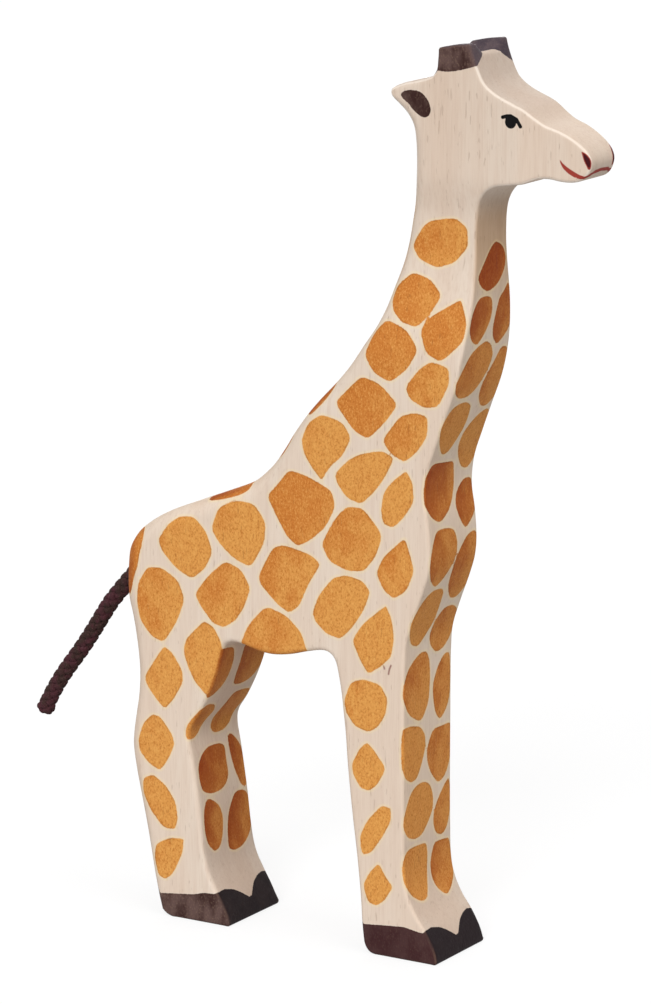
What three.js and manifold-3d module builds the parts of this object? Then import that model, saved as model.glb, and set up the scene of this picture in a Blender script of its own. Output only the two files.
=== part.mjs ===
// Toy giraffe sawn from one board, with a braided cord glued into a blind hole as its tail.
// Millimetres, +X towards the nose, +Z up, the board's middle plane on Y = 0, soles on Z = 0.

import * as THREE from 'three';
import { mergeVertices } from 'three/addons/utils/BufferGeometryUtils.js';
import Module from 'manifold-3d';

const wasm = await Module();
wasm.setup();

// Sizes of the wooden figure
const figureLength = 148;
const figureHeight = 260;
const boardThickness = 27;
const neckThickness = 17.6;
const headThickness = 20.4;
const muzzleThickness = 13.8;

// Rounding of the figure's edges, where the flanks meet the sawn faces
const frontRounding = 1.6;
const soleRounding = 0.7;
const hornRounding = 1.1;
const earRounding = 2.2;
const napeRounding = 3.8;
const backRounding = 4.6;
const rumpRounding = 5;
const hindEdgeRounding = 3.6;
const heelRounding = 2;
const hindShinRounding = 2.4;
const bellyRounding = 1.8;
const cornerSoftening = 0.7;
// An edge's rounding is at most this share of the largest circle that fits inside the outline there
const roomShare = 0.6;

// Shallow valley that parts the two horns, cut along the top of the head
const valleyFloorWidth = 8;
const valleyMouthWidth = 14.4;
const valleyDepth = 2.2;

// Tail cord, its blind hole in the rump and the glue that holds it
const cordDiameter = 5;
const holeClearance = 0.3;
const holeDepth = 14;
const glueThickness = 1.1;
const jointGap = 0.3;
const rootLength = 3.2;
const cordSides = 10;
const cordRings = 8;

// One overrun for all cuts
const overrun = 2;

// Heights where the board's thickness changes, as shares of the figure's height
const shoulderHeightShare = 0.654;
const throatHeightShare = 0.792;
const jawHeightShare = 0.815;
const browHeightShare = 0.862;
// Where the head starts to narrow towards the nose, as a share of the figure's length
const browLengthShare = 0.855;

// The outline's points are shares of the figure's length, from rump to nose, and of its height
const chestAndNeckShares = [
  [0.711, 0], [0.706, 0.015], [0.687, 0.035], [0.664, 0.053], [0.647, 0.073], [0.639, 0.096],
  [0.637, 0.131], [0.636, 0.185], [0.636, 0.246], [0.636, 0.292], [0.637, 0.331], [0.641, 0.355],
  [0.657, 0.383], [0.676, 0.412], [0.688, 0.435], [0.691, 0.458], [0.687, 0.487], [0.68, 0.515],
  [0.685, 0.544], [0.702, 0.573], [0.722, 0.604], [0.744, 0.638], [0.757, 0.671], [0.765, 0.702],
  [0.769, 0.731], [0.769, 0.762], [0.768, 0.792], [0.769, 0.815], [0.774, 0.832], [0.787, 0.844],
  [0.808, 0.852], [0.836, 0.855], [0.868, 0.858], [0.896, 0.864], [0.918, 0.865], [0.942, 0.863],
  [0.963, 0.863], [0.981, 0.866], [0.994, 0.873], [1, 0.884], [0.995, 0.893], [0.982, 0.901],
  [0.962, 0.909], [0.937, 0.916], [0.911, 0.921], [0.89, 0.928], [0.869, 0.936], [0.849, 0.941],
  [0.823, 0.947], [0.801, 0.954], [0.786, 0.962], [0.775, 0.974], [0.766, 0.987], [0.758, 1],
];
const hornTopShares = [[0.758, 1], [0.726, 0.998], [0.692, 0.994]];
const hornBackShares = [[0.692, 0.994], [0.689, 0.981], [0.687, 0.971], [0.679, 0.963]];
const backAndHindLegShares = [
  [0.679, 0.963], [0.646, 0.958], [0.621, 0.955], [0.602, 0.951], [0.592, 0.947], [0.59, 0.942],
  [0.595, 0.937], [0.607, 0.93], [0.622, 0.921], [0.633, 0.91], [0.637, 0.896], [0.638, 0.879],
  [0.637, 0.858], [0.632, 0.834], [0.625, 0.811], [0.617, 0.786], [0.607, 0.762], [0.593, 0.738],
  [0.579, 0.714], [0.56, 0.692], [0.535, 0.671], [0.508, 0.649], [0.476, 0.628], [0.441, 0.608],
  [0.411, 0.589], [0.383, 0.568], [0.359, 0.547], [0.332, 0.527], [0.293, 0.508], [0.247, 0.496],
  [0.199, 0.485], [0.158, 0.475], [0.12, 0.467], [0.086, 0.458], [0.056, 0.448], [0.026, 0.434],
  [0.007, 0.417], [0.001, 0.398], [0, 0.376], [0.003, 0.357], [0.012, 0.338], [0.02, 0.316],
  [0.026, 0.294], [0.029, 0.272], [0.027, 0.25], [0.021, 0.229], [0.015, 0.208], [0.013, 0.19],
  [0.018, 0.169], [0.026, 0.146], [0.036, 0.121], [0.046, 0.096], [0.055, 0.071], [0.063, 0.048],
  [0.071, 0.029], [0.08, 0.012], [0.098, 0],
];
const hindSoleShares = [[0.098, 0], [0.245, 0]];
const hindShinShares = [
  [0.245, 0], [0.241, 0.011], [0.229, 0.025], [0.212, 0.041], [0.197, 0.057], [0.188, 0.074],
  [0.182, 0.096], [0.176, 0.125], [0.168, 0.156], [0.16, 0.184], [0.153, 0.206], [0.156, 0.221],
  [0.177, 0.24], [0.196, 0.261], [0.212, 0.283], [0.224, 0.305], [0.233, 0.32], [0.25, 0.326],
  [0.277, 0.325], [0.305, 0.321], [0.341, 0.319], [0.381, 0.322], [0.419, 0.328], [0.452, 0.332],
  [0.471, 0.33], [0.483, 0.322], [0.49, 0.307], [0.496, 0.288], [0.501, 0.265], [0.506, 0.24],
  [0.51, 0.211], [0.516, 0.179], [0.523, 0.146], [0.53, 0.117], [0.536, 0.088], [0.541, 0.059],
  [0.544, 0.033], [0.549, 0.012], [0.559, 0],
];
const frontSoleShares = [[0.559, 0], [0.711, 0]];

// Each stretch of the outline, and the edge roundings met from its first point to its last
const stretches = [
  { shares: chestAndNeckShares, roundings: [frontRounding, frontRounding] },
  { shares: hornTopShares, roundings: [hornRounding, hornRounding] },
  { shares: hornBackShares, roundings: [hornRounding, hornRounding] },
  {
    shares: backAndHindLegShares,
    roundings: [
      hornRounding, earRounding, napeRounding, napeRounding, backRounding, backRounding,
      rumpRounding, hindEdgeRounding, hindEdgeRounding, heelRounding,
    ],
  },
  { shares: hindSoleShares, roundings: [soleRounding, soleRounding] },
  {
    shares: hindShinShares,
    roundings: [hindShinRounding, hindShinRounding, bellyRounding, bellyRounding, frontRounding],
  },
  { shares: frontSoleShares, roundings: [soleRounding, soleRounding] },
];

// Mesh fineness
const samplesPerPoint = 1;
const roundingSteps = 3;
const longestCapEdge = figureHeight / 14;

function placeInPlane(share) {
  return new THREE.Vector2((share[0] - 0.5) * figureLength, share[1] * figureHeight);
}

// The board's thickness at a point of its middle plane: full up to the shoulder, thin at the neck,
// and narrowing from the brow to the nose
function thicknessAt(point) {
  const smooth = THREE.MathUtils.smoothstep;
  const lift = point.y / figureHeight;
  const neckward = smooth(lift, shoulderHeightShare, throatHeightShare);
  const headward = smooth(lift, jawHeightShare, browHeightShare);
  const noseward = THREE.MathUtils.clamp(
    (point.x / figureLength + 0.5 - browLengthShare) / (1 - browLengthShare), 0, 1);
  const upToNeck = THREE.MathUtils.lerp(boardThickness, neckThickness, neckward);
  const head = THREE.MathUtils.lerp(headThickness, muzzleThickness, noseward);
  return THREE.MathUtils.lerp(upToNeck, head, headward);
}

function valueAlong(values, place) {
  const scaled = place * (values.length - 1);
  const index = Math.min(Math.floor(scaled), values.length - 2);
  return THREE.MathUtils.lerp(values[index], values[index + 1], scaled - index);
}

// Points of one stretch, without its two end corners, which are softened where stretches meet.
// A stretch of two points is straight and needs no points between them.
function sampleStretch(stretch) {
  const curve = new THREE.SplineCurve(stretch.shares.map(placeInPlane));
  const spans = stretch.shares.length - 1;
  const count = spans > 1 ? spans * samplesPerPoint : 1;
  const samples = [];
  const first = curve.getPoint(0);
  const last = curve.getPoint(1);
  for (let i = 0; i <= count; i += 1) {
    const point = curve.getPoint(i / count);
    const fromEnds = Math.min(point.distanceTo(first), point.distanceTo(last));
    if (fromEnds > cornerSoftening) {
      samples.push({ point, rounding: valueAlong(stretch.roundings, i / count) });
    }
  }
  return samples;
}

// The outline's point next to a corner, or the far corner of a straight stretch
function nextToCorner(samples, stretch, end) {
  const farEnd = end === 0 ? -1 : 0;
  return samples.at(end)?.point ?? placeInPlane(stretch.shares.at(farEnd));
}

// A corner between two stretches becomes a short curve of three points
function softCorner(before, corner, after) {
  const start = corner.clone().lerp(before, cornerSoftening / corner.distanceTo(before));
  const end = corner.clone().lerp(after, cornerSoftening / corner.distanceTo(after));
  const bend = new THREE.QuadraticBezierCurve(start, corner, end);
  return [0, 0.5, 1].map((place) => ({ point: bend.getPoint(place), rounding: cornerSoftening }));
}

function sampleOutline() {
  const sampled = stretches.map(sampleStretch);
  const outline = [];
  sampled.forEach((samples, index) => {
    const next = (index + 1) % sampled.length;
    const corner = placeInPlane(stretches[index].shares.at(-1));
    const before = nextToCorner(samples, stretches[index], -1);
    const after = nextToCorner(sampled[next], stretches[next], 0);
    outline.push(...samples, ...softCorner(before, corner, after));
  });
  return outline;
}

// Inward unit directions of a counter-clockwise outline
function inwardDirections(outline) {
  const count = outline.length;
  return outline.map((sample, index) => {
    const before = outline[(index + count - 1) % count].point;
    const after = outline[(index + 1) % count].point;
    const along = after.clone().sub(before).normalize();
    return new THREE.Vector2(-along.y, along.x);
  });
}

// The radius of the largest circle inside the outline that touches it at one of its points
function roomInside(outline, inward, index) {
  const here = outline[index].point;
  const radii = outline.map(({ point }) => {
    const offset = point.clone().sub(here);
    const depth = offset.dot(inward[index]);
    return depth > 0 ? offset.lengthSq() / (2 * depth) : Infinity;
  });
  return Math.min(...radii);
}

// Rings on one flank from the sawn face to the flat flank, as points with a place across the board
function flankRings(outline) {
  const inward = inwardDirections(outline);
  const roundings = outline.map(({ rounding }, index) => (
    Math.min(rounding, roomShare * roomInside(outline, inward, index))));
  const rings = [];
  for (let step = 0; step <= roundingSteps; step += 1) {
    const angle = (step / roundingSteps) * Math.PI / 2;
    rings.push(outline.map((sample, index) => {
      const inset = roundings[index] * (1 - Math.cos(angle));
      const point = sample.point.clone().addScaledVector(inward[index], inset);
      const drop = roundings[index] * (1 - Math.sin(angle));
      return { point, across: thicknessAt(point) / 2 - drop };
    }));
  }
  return rings;
}

function edgeKey(a, b) {
  return a < b ? `${a},${b}` : `${b},${a}`;
}

// Splits the flank's longest inner edges, so that the flank follows the change in thickness
function refineFlank(points, triangles) {
  const split = new Map();
  const uses = new Map();
  triangles.forEach((corners) => corners.forEach((a, k) => {
    const key = edgeKey(a, corners[(k + 1) % 3]);
    uses.set(key, (uses.get(key) ?? 0) + 1);
  }));
  const refined = [];
  triangles.forEach((corners) => {
    const lengths = corners.map((a, k) => points[a].distanceTo(points[corners[(k + 1) % 3]]));
    const longest = lengths.indexOf(Math.max(...lengths));
    const [a, b, c] = [0, 1, 2].map((k) => corners[(longest + k) % 3]);
    const key = edgeKey(a, b);
    const free = uses.get(key) === 2 && lengths[longest] > longestCapEdge;
    const ready = free && (split.get(key)?.length ?? 0) < 2;
    if (ready) split.set(key, [...(split.get(key) ?? []), [a, b, c]]);
    else refined.push(corners);
  });
  split.forEach((pair) => {
    if (pair.length < 2) {
      refined.push(...pair);
      return;
    }
    const [a, b] = pair[0];
    const middle = points.push(points[a].clone().lerp(points[b], 0.5)) - 1;
    pair.forEach(([from, to, apex]) => refined.push([from, middle, apex], [middle, to, apex]));
  });
  return refined;
}

function triangulateFlank(rim) {
  const points = rim.map((entry) => entry.point.clone());
  let triangles = THREE.ShapeUtils.triangulateShape(points, []);
  let before = 0;
  while (triangles.length > before) {
    before = triangles.length;
    triangles = refineFlank(points, triangles);
  }
  return { points, triangles };
}

// The closed body between the two flanks
function boardGeometry() {
  const rings = flankRings(sampleOutline());
  const rim = rings.at(-1);
  const flank = triangulateFlank(rim);
  const positions = [];
  const indices = [];
  const addPoint = (point, across) => positions.push(point.x, across, point.y) / 3 - 1;
  const count = rim.length;
  const bands = [];
  [-1, 1].forEach((side) => {
    const starts = rings.map((ring) => ring.map((entry) => addPoint(entry.point, side * entry.across)));
    const inner = flank.points.slice(count).map((point) => addPoint(point, side * thicknessAt(point) / 2));
    const cap = [...starts.at(-1), ...inner];
    flank.triangles.forEach(([a, b, c]) => {
      if (side < 0) indices.push(cap[a], cap[b], cap[c]);
      else indices.push(cap[a], cap[c], cap[b]);
    });
    bands.push(starts);
  });
  const across = [...bands[0].reverse(), ...bands[1]];
  for (let level = 0; level < across.length - 1; level += 1) {
    for (let i = 0; i < count; i += 1) {
      const j = (i + 1) % count;
      const [a, b] = [across[level][i], across[level][j]];
      const [c, d] = [across[level + 1][j], across[level + 1][i]];
      indices.push(a, c, b, a, d, c);
    }
  }
  return closedGeometry(positions, indices);
}

function closedGeometry(positions, indices) {
  const geometry = new THREE.BufferGeometry();
  geometry.setAttribute('position', new THREE.Float32BufferAttribute(positions, 3));
  geometry.setIndex(indices);
  return geometry;
}

function toSolid(geometry) {
  const bare = geometry.clone();
  bare.deleteAttribute('normal');
  bare.deleteAttribute('uv');
  const merged = mergeVertices(bare);
  return new wasm.Manifold(new wasm.Mesh({
    numProp: 3,
    vertProperties: new Float32Array(merged.attributes.position.array),
    triVerts: new Uint32Array(merged.index.array),
  }));
}

function toGeometry(solid) {
  const mesh = solid.getMesh();
  return closedGeometry(Array.from(mesh.vertProperties), Array.from(mesh.triVerts));
}

// The horn valley's cutter runs along the whole head, parallel to the horns' sloping tops
function hornValleyCutter() {
  const back = placeInPlane(hornTopShares.at(-1));
  const front = placeInPlane(hornTopShares[0]);
  const slopeSide = (valleyMouthWidth - valleyFloorWidth) / 2;
  const topHalf = valleyMouthWidth / 2 + slopeSide * (overrun / valleyDepth);
  const section = new THREE.Shape([
    new THREE.Vector2(-valleyFloorWidth / 2, -valleyDepth),
    new THREE.Vector2(valleyFloorWidth / 2, -valleyDepth),
    new THREE.Vector2(topHalf, overrun),
    new THREE.Vector2(-topHalf, overrun),
  ]);
  const run = front.clone().sub(back);
  const length = run.length() + 2 * overrun;
  const geometry = new THREE.ExtrudeGeometry(section, { depth: length, bevelEnabled: false });
  const along = new THREE.Vector3(run.x, 0, run.y).normalize();
  const sideways = new THREE.Vector3(0, 1, 0);
  const upward = along.clone().cross(sideways);
  geometry.applyMatrix4(new THREE.Matrix4().makeBasis(sideways, upward, along));
  geometry.translate(back.x - along.x * overrun, 0, back.y - along.z * overrun);
  return geometry;
}

// Where the tail cord leaves the rump, and its centre line from there to its tip
const tailMouthShares = [0.001, 0.386];
const tailRoute = [
  [0, 0], [-2.6, -1.3], [-4.9, -3.3], [-7.2, -5.8], [-10.2, -9.2], [-13.2, -12.8], [-15.9, -16.7],
  [-18.6, -20.8], [-21.4, -24.9], [-24.3, -28.9], [-27.4, -32.9], [-30.4, -36.9], [-33.2, -41.1],
  [-35.6, -45.3], [-37.6, -49.6],
];
const tailMouth = placeInPlane(tailMouthShares);
const tailCurve = new THREE.CatmullRomCurve3(tailRoute.map(([back, up]) => (
  new THREE.Vector3(tailMouth.x + back, 0, tailMouth.y + up))));
const tailLength = tailCurve.getLength();
const tailDirection = tailCurve.getTangentAt(0);
const cordRadius = cordDiameter / 2;
const holeRadius = cordRadius + holeClearance;

// A place on the cord's centre line, straight on into the hole for a negative distance
function cordPlace(distance) {
  if (distance < 0) {
    return tailCurve.getPointAt(0).addScaledVector(tailDirection, distance);
  }
  return tailCurve.getPointAt(Math.min(distance / tailLength, 1));
}

function cordDirection(distance) {
  return tailCurve.getTangentAt(THREE.MathUtils.clamp(distance / tailLength, 0, 1));
}

// The centre of a station's ring, which may stand straight back from a place on the cord
function stationCentre({ distance, back = 0 }) {
  return cordPlace(distance).addScaledVector(cordDirection(distance), -back);
}

// A round closed body along the cord's centre line, from a list of stations with their radii
function roundBody(stations, sides) {
  const positions = [];
  const indices = [];
  const sideways = new THREE.Vector3(0, 1, 0);
  stations.forEach((station) => {
    const { distance, radius } = station;
    const centre = stationCentre(station);
    const upward = sideways.clone().cross(cordDirection(distance));
    for (let i = 0; i < sides; i += 1) {
      const angle = (i / sides) * 2 * Math.PI;
      const point = centre.clone();
      point.addScaledVector(sideways, radius * Math.cos(angle));
      point.addScaledVector(upward, radius * Math.sin(angle));
      positions.push(point.x, point.y, point.z);
    }
  });
  const ends = [stations[0], stations.at(-1)].map((station) => {
    const centre = stationCentre(station);
    return positions.push(centre.x, centre.y, centre.z) / 3 - 1;
  });
  const lastRing = (stations.length - 1) * sides;
  for (let i = 0; i < sides; i += 1) {
    const j = (i + 1) % sides;
    indices.push(ends[0], i, j, ends[1], lastRing + j, lastRing + i);
    for (let ring = 0; ring < stations.length - 1; ring += 1) {
      const start = ring * sides;
      const next = start + sides;
      indices.push(start + i, next + j, start + j, start + i, next + i, next + j);
    }
  }
  return closedGeometry(positions, indices);
}

// A round nose that turns on its own centre, at the start of each swinging stretch of the cord
function noseStations(pivot) {
  return [75, 45, 20].map((degrees) => {
    const angle = THREE.MathUtils.degToRad(degrees);
    const back = cordRadius * Math.sin(angle);
    return { distance: pivot, back, radius: cordRadius * Math.cos(angle) };
  });
}

// Where the cord clears the rim of its slanted hole, and the two points it swings about
const exitTilt = Math.atan2(-tailDirection.z, -tailDirection.x);
const rimReach = cordRadius * Math.tan(exitTilt);
const sidePivot = rimReach + 2 * jointGap;
const liftPivot = sidePivot + rootLength + jointGap + cordRadius;

function woodenFigure() {
  const board = toSolid(boardGeometry());
  const valley = toSolid(hornValleyCutter());
  const hole = toSolid(roundBody([
    { distance: -holeDepth, radius: holeRadius },
    { distance: holeRadius * Math.tan(exitTilt) + overrun, radius: holeRadius },
  ], 2 * cordSides));
  return toGeometry(board.subtract(valley).subtract(hole));
}

function glueDrop() {
  const floor = -holeDepth + jointGap;
  return roundBody([
    { distance: floor, radius: cordRadius },
    { distance: floor + glueThickness, radius: cordRadius },
  ], cordSides);
}

function gluedCordEnd() {
  return roundBody([
    { distance: -holeDepth + glueThickness + 2 * jointGap, radius: cordRadius },
    { distance: sidePivot - cordRadius - jointGap, radius: cordRadius },
  ], cordSides);
}

function cordRoot() {
  return roundBody([
    ...noseStations(sidePivot),
    { distance: sidePivot, radius: cordRadius },
    { distance: sidePivot + rootLength, radius: cordRadius },
  ], cordSides);
}

function freeCord() {
  const stations = noseStations(liftPivot);
  for (let ring = 0; ring <= cordRings; ring += 1) {
    const distance = THREE.MathUtils.lerp(liftPivot, tailLength, ring / cordRings);
    stations.push({ distance, radius: cordRadius });
  }
  return roundBody(stations, cordSides);
}

const maple = new THREE.MeshStandardMaterial({ color: '#e2d0b8', roughness: 0.62, metalness: 0 });
const glue = new THREE.MeshStandardMaterial({ color: '#e9e1c8', roughness: 0.35, metalness: 0 });
const darkCord = { color: '#33242a', roughness: 0.95, metalness: 0 };

function piece(name, geometry, material) {
  const mesh = new THREE.Mesh(geometry, material);
  mesh.name = name;
  return mesh;
}

const giraffe = new THREE.Group();
giraffe.add(piece('wooden_figure', woodenFigure(), maple));
giraffe.add(piece('tail_glue', glueDrop(), glue));
giraffe.add(piece('tail_cord_glued_end', gluedCordEnd(), new THREE.MeshStandardMaterial(darkCord)));
giraffe.add(piece('tail_cord_root', cordRoot(), new THREE.MeshStandardMaterial(darkCord)));
giraffe.add(piece('tail_cord', freeCord(), new THREE.MeshStandardMaterial(darkCord)));

export default giraffe;
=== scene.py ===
# Looks of the toy giraffe: the sawn board with its stained patches and painted parts, and the
# braided cord tail. The drawing is in millimetres and turned into metres where each mesh is made.

import math

import bpy
import numpy as np
from mathutils import Matrix, Vector
from mathutils.geometry import delaunay_2d_cdt
from mathutils.kdtree import KDTree


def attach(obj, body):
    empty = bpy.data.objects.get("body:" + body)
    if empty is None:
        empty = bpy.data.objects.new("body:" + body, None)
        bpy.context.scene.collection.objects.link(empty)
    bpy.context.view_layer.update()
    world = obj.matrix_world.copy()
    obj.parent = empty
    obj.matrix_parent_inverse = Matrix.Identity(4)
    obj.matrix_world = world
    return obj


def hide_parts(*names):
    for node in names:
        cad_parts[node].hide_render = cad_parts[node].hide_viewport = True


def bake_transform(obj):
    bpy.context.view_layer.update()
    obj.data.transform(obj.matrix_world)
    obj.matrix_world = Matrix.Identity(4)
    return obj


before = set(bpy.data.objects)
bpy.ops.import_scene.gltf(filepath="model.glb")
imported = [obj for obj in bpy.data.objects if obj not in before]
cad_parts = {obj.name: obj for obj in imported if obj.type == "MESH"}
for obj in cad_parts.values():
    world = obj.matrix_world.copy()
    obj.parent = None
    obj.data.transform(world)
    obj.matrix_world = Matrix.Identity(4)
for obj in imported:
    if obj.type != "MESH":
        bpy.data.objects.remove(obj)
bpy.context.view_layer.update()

MM = 0.001

# Camera at the photograph's place
CAMERA_AZIMUTH = math.radians(31.568)
CAMERA_ELEVATION = math.radians(12.512)
CAMERA_DISTANCE = 1.3555
CAMERA_TARGET = Vector((-0.0136, 0, 0.1259))
SENSOR = 36
LENS = 172.11

# Sizes of the wooden figure, as in part.mjs apart from some crisper edges
FIGURE_LENGTH = 148
FIGURE_HEIGHT = 260
BOARD_THICKNESS = 27
NECK_THICKNESS = 17.6
HEAD_THICKNESS = 20.4
MUZZLE_THICKNESS = 13.8
FRONT_ROUNDING = 1.0
SOLE_ROUNDING = 0.7
HORN_ROUNDING = 1.1
EAR_ROUNDING = 2.2
NAPE_ROUNDING = 3.8
BACK_ROUNDING = 4.6
RUMP_ROUNDING = 5
HIND_EDGE_ROUNDING = 3.6
HEEL_ROUNDING = 2
HIND_SHIN_ROUNDING = 1.4
BELLY_ROUNDING = 1.4
HORN_CORNER_SOFTENING = 0.7
TOE_SOFTENING = 1.2
HEEL_SOFTENING = 2.4
ROOM_SHARE = 0.6
VALLEY_FLOOR_WIDTH = 8
VALLEY_MOUTH_WIDTH = 14.4
VALLEY_DEPTH = 2.7
VALLEY_REACH = 3.5
SHOULDER_HEIGHT_SHARE = 0.654
THROAT_HEIGHT_SHARE = 0.792
JAW_HEIGHT_SHARE = 0.815
BROW_HEIGHT_SHARE = 0.862
BROW_LENGTH_SHARE = 0.855

# Outline points as shares of the figure's length, from rump to nose, and of its height
CHEST_AND_NECK_SHARES = (
    (0.711, 0), (0.706, 0.015), (0.687, 0.035), (0.664, 0.053), (0.647, 0.073), (0.639, 0.096),
    (0.637, 0.131), (0.636, 0.185), (0.636, 0.246), (0.636, 0.292), (0.637, 0.331), (0.641, 0.355),
    (0.657, 0.383), (0.676, 0.412), (0.688, 0.435), (0.691, 0.458), (0.687, 0.487), (0.68, 0.515),
    (0.685, 0.544), (0.702, 0.573), (0.722, 0.604), (0.744, 0.638), (0.757, 0.671), (0.765, 0.702),
    (0.769, 0.731), (0.769, 0.762), (0.768, 0.792), (0.769, 0.815), (0.774, 0.832), (0.787, 0.844),
    (0.808, 0.852), (0.836, 0.855), (0.868, 0.858), (0.896, 0.864), (0.918, 0.865), (0.942, 0.863),
    (0.963, 0.863), (0.981, 0.866), (0.994, 0.873), (1, 0.884), (0.995, 0.893), (0.982, 0.901),
    (0.962, 0.909), (0.937, 0.916), (0.911, 0.921), (0.89, 0.928), (0.869, 0.936), (0.849, 0.941),
    (0.823, 0.947), (0.801, 0.954), (0.786, 0.962), (0.775, 0.974), (0.766, 0.987), (0.758, 1),
)
HORN_TOP_SHARES = ((0.758, 1), (0.726, 0.998), (0.692, 0.994))
HORN_BACK_SHARES = ((0.692, 0.994), (0.689, 0.981), (0.687, 0.971), (0.679, 0.963))
BACK_AND_HIND_LEG_SHARES = (
    (0.679, 0.963), (0.646, 0.958), (0.621, 0.955), (0.602, 0.951), (0.592, 0.947), (0.59, 0.942),
    (0.595, 0.937), (0.607, 0.93), (0.622, 0.921), (0.633, 0.91), (0.637, 0.896), (0.638, 0.879),
    (0.637, 0.858), (0.632, 0.834), (0.625, 0.811), (0.617, 0.786), (0.607, 0.762), (0.593, 0.738),
    (0.579, 0.714), (0.56, 0.692), (0.535, 0.671), (0.508, 0.649), (0.476, 0.628), (0.441, 0.608),
    (0.411, 0.589), (0.383, 0.568), (0.359, 0.547), (0.332, 0.527), (0.293, 0.508), (0.247, 0.496),
    (0.199, 0.485), (0.158, 0.475), (0.12, 0.467), (0.086, 0.458), (0.056, 0.448), (0.026, 0.434),
    (0.007, 0.417), (0.001, 0.398), (0, 0.376), (0.003, 0.357), (0.012, 0.338), (0.02, 0.316),
    (0.026, 0.294), (0.029, 0.272), (0.027, 0.25), (0.021, 0.229), (0.015, 0.208), (0.013, 0.19),
    (0.018, 0.169), (0.026, 0.146), (0.036, 0.121), (0.046, 0.096), (0.055, 0.071), (0.063, 0.048),
    (0.071, 0.029), (0.08, 0.012), (0.098, 0),
)
HIND_SOLE_SHARES = ((0.098, 0), (0.245, 0))
HIND_SHIN_SHARES = (
    (0.245, 0), (0.241, 0.011), (0.229, 0.025), (0.212, 0.041), (0.197, 0.057), (0.188, 0.074),
    (0.182, 0.096), (0.176, 0.125), (0.168, 0.156), (0.16, 0.184), (0.153, 0.206), (0.156, 0.221),
    (0.177, 0.24), (0.196, 0.261), (0.212, 0.283), (0.224, 0.305), (0.233, 0.32), (0.25, 0.326),
    (0.277, 0.325), (0.305, 0.321), (0.341, 0.319), (0.381, 0.322), (0.419, 0.328), (0.452, 0.332),
    (0.471, 0.33), (0.483, 0.322), (0.49, 0.307), (0.496, 0.288), (0.501, 0.265), (0.506, 0.24),
    (0.51, 0.211), (0.516, 0.179), (0.523, 0.146), (0.53, 0.117), (0.536, 0.088), (0.541, 0.059),
    (0.544, 0.033), (0.549, 0.012), (0.559, 0),
)
FRONT_SOLE_SHARES = ((0.559, 0), (0.711, 0))

# Each stretch of the outline with the edge roundings met from its first point to its last
STRETCHES = (
    (CHEST_AND_NECK_SHARES, (FRONT_ROUNDING, FRONT_ROUNDING)),
    (HORN_TOP_SHARES, (HORN_ROUNDING, HORN_ROUNDING)),
    (HORN_BACK_SHARES, (HORN_ROUNDING, HORN_ROUNDING)),
    (
        BACK_AND_HIND_LEG_SHARES,
        (
            HORN_ROUNDING, EAR_ROUNDING, NAPE_ROUNDING, NAPE_ROUNDING, BACK_ROUNDING,
            BACK_ROUNDING, RUMP_ROUNDING, HIND_EDGE_ROUNDING, HIND_EDGE_ROUNDING, HEEL_ROUNDING,
        ),
    ),
    (HIND_SOLE_SHARES, (SOLE_ROUNDING, SOLE_ROUNDING)),
    (
        HIND_SHIN_SHARES,
        (HIND_SHIN_ROUNDING, HIND_SHIN_ROUNDING, BELLY_ROUNDING, BELLY_ROUNDING, FRONT_ROUNDING),
    ),
    (FRONT_SOLE_SHARES, (SOLE_ROUNDING, SOLE_ROUNDING)),
)
CHEST_AND_NECK = 0
BACK_AND_HIND_LEG = 3
HIND_SHIN = 5
# How far the corner at the end of each stretch is softened
CORNER_SOFTENINGS = (
    HORN_CORNER_SOFTENING, HORN_CORNER_SOFTENING, HORN_CORNER_SOFTENING, HEEL_SOFTENING,
    TOE_SOFTENING, HEEL_SOFTENING, TOE_SOFTENING,
)

# Fineness of the figure's mesh
OUTLINE_SPACING = 0.9
FLANK_SPACING = 1.0
DETAIL_SPACING = 0.3
RIM_CLEARANCE = 0.45
ROUNDING_STEPS = 6
COLUMN_SHARES = (0, 0.11, 0.22, 0.33, 0.44, 0.53, 0.62, 0.7, 0.79, 0.86, 0.93)
SOFT_CORNER_STEPS = 6
ROUNDING_SMOOTHINGS = 4
MERGE_REACH = 1e-5
TINY = 1e-6

# The tail cord and its hole, as in part.mjs
CORD_DIAMETER = 5
HOLE_CLEARANCE = 0.3
HOLE_DEPTH = 14
HOLE_OVERRUN = 3
HOLE_SIDES = 40
GLUE_THICKNESS = 1.1
JOINT_GAP = 0.3
ROOT_LENGTH = 3.2
TAIL_MOUTH_SHARES = (0.001, 0.386)
TAIL_ROUTE = (
    (0, 0), (-2.6, -1.3), (-4.9, -3.3), (-7.2, -5.8), (-10.2, -9.2), (-13.2, -12.8), (-15.9, -16.7),
    (-18.6, -20.8), (-21.4, -24.9), (-24.3, -28.9), (-27.4, -32.9), (-30.4, -36.9), (-33.2, -41.1),
    (-35.6, -45.3), (-37.6, -49.6),
)
TAIL_SPAN_STEPS = 60
CORD_TURN_STEP = 0.2
SIDEWAYS = np.array([0, 1.0, 0])

# The braid on that line
CORD_STEP = 0.35
BRAID_LAY = 12.5
BRAID_WAYS = (1, -1)
BRAID_STRANDS = 4
BRAID_RADIUS = 1.66
BRAID_SWING = 0.36
STRAND_HEIGHT = 0.62
STRAND_WIDTH = 0.98
STRAND_SIDES = 10
CORE_RADIUS = 1.5
CORE_SIDES = 16
# The bare tip: its length, the end's blunt share, and in tip lengths from the end where it frays
TIP_LENGTH = 1.6
TIP_BLUNTNESS = 0.02
TIP_SWELLING = 0.08
TIP_SWELLING_REACHES = (3, 1.2)


def smoothstep(value, low, high):
    share = np.clip((value - low) / (high - low), 0, 1)
    return share * share * (3 - 2 * share)


def mix(a, b, share):
    return a + (b - a) * share


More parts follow.
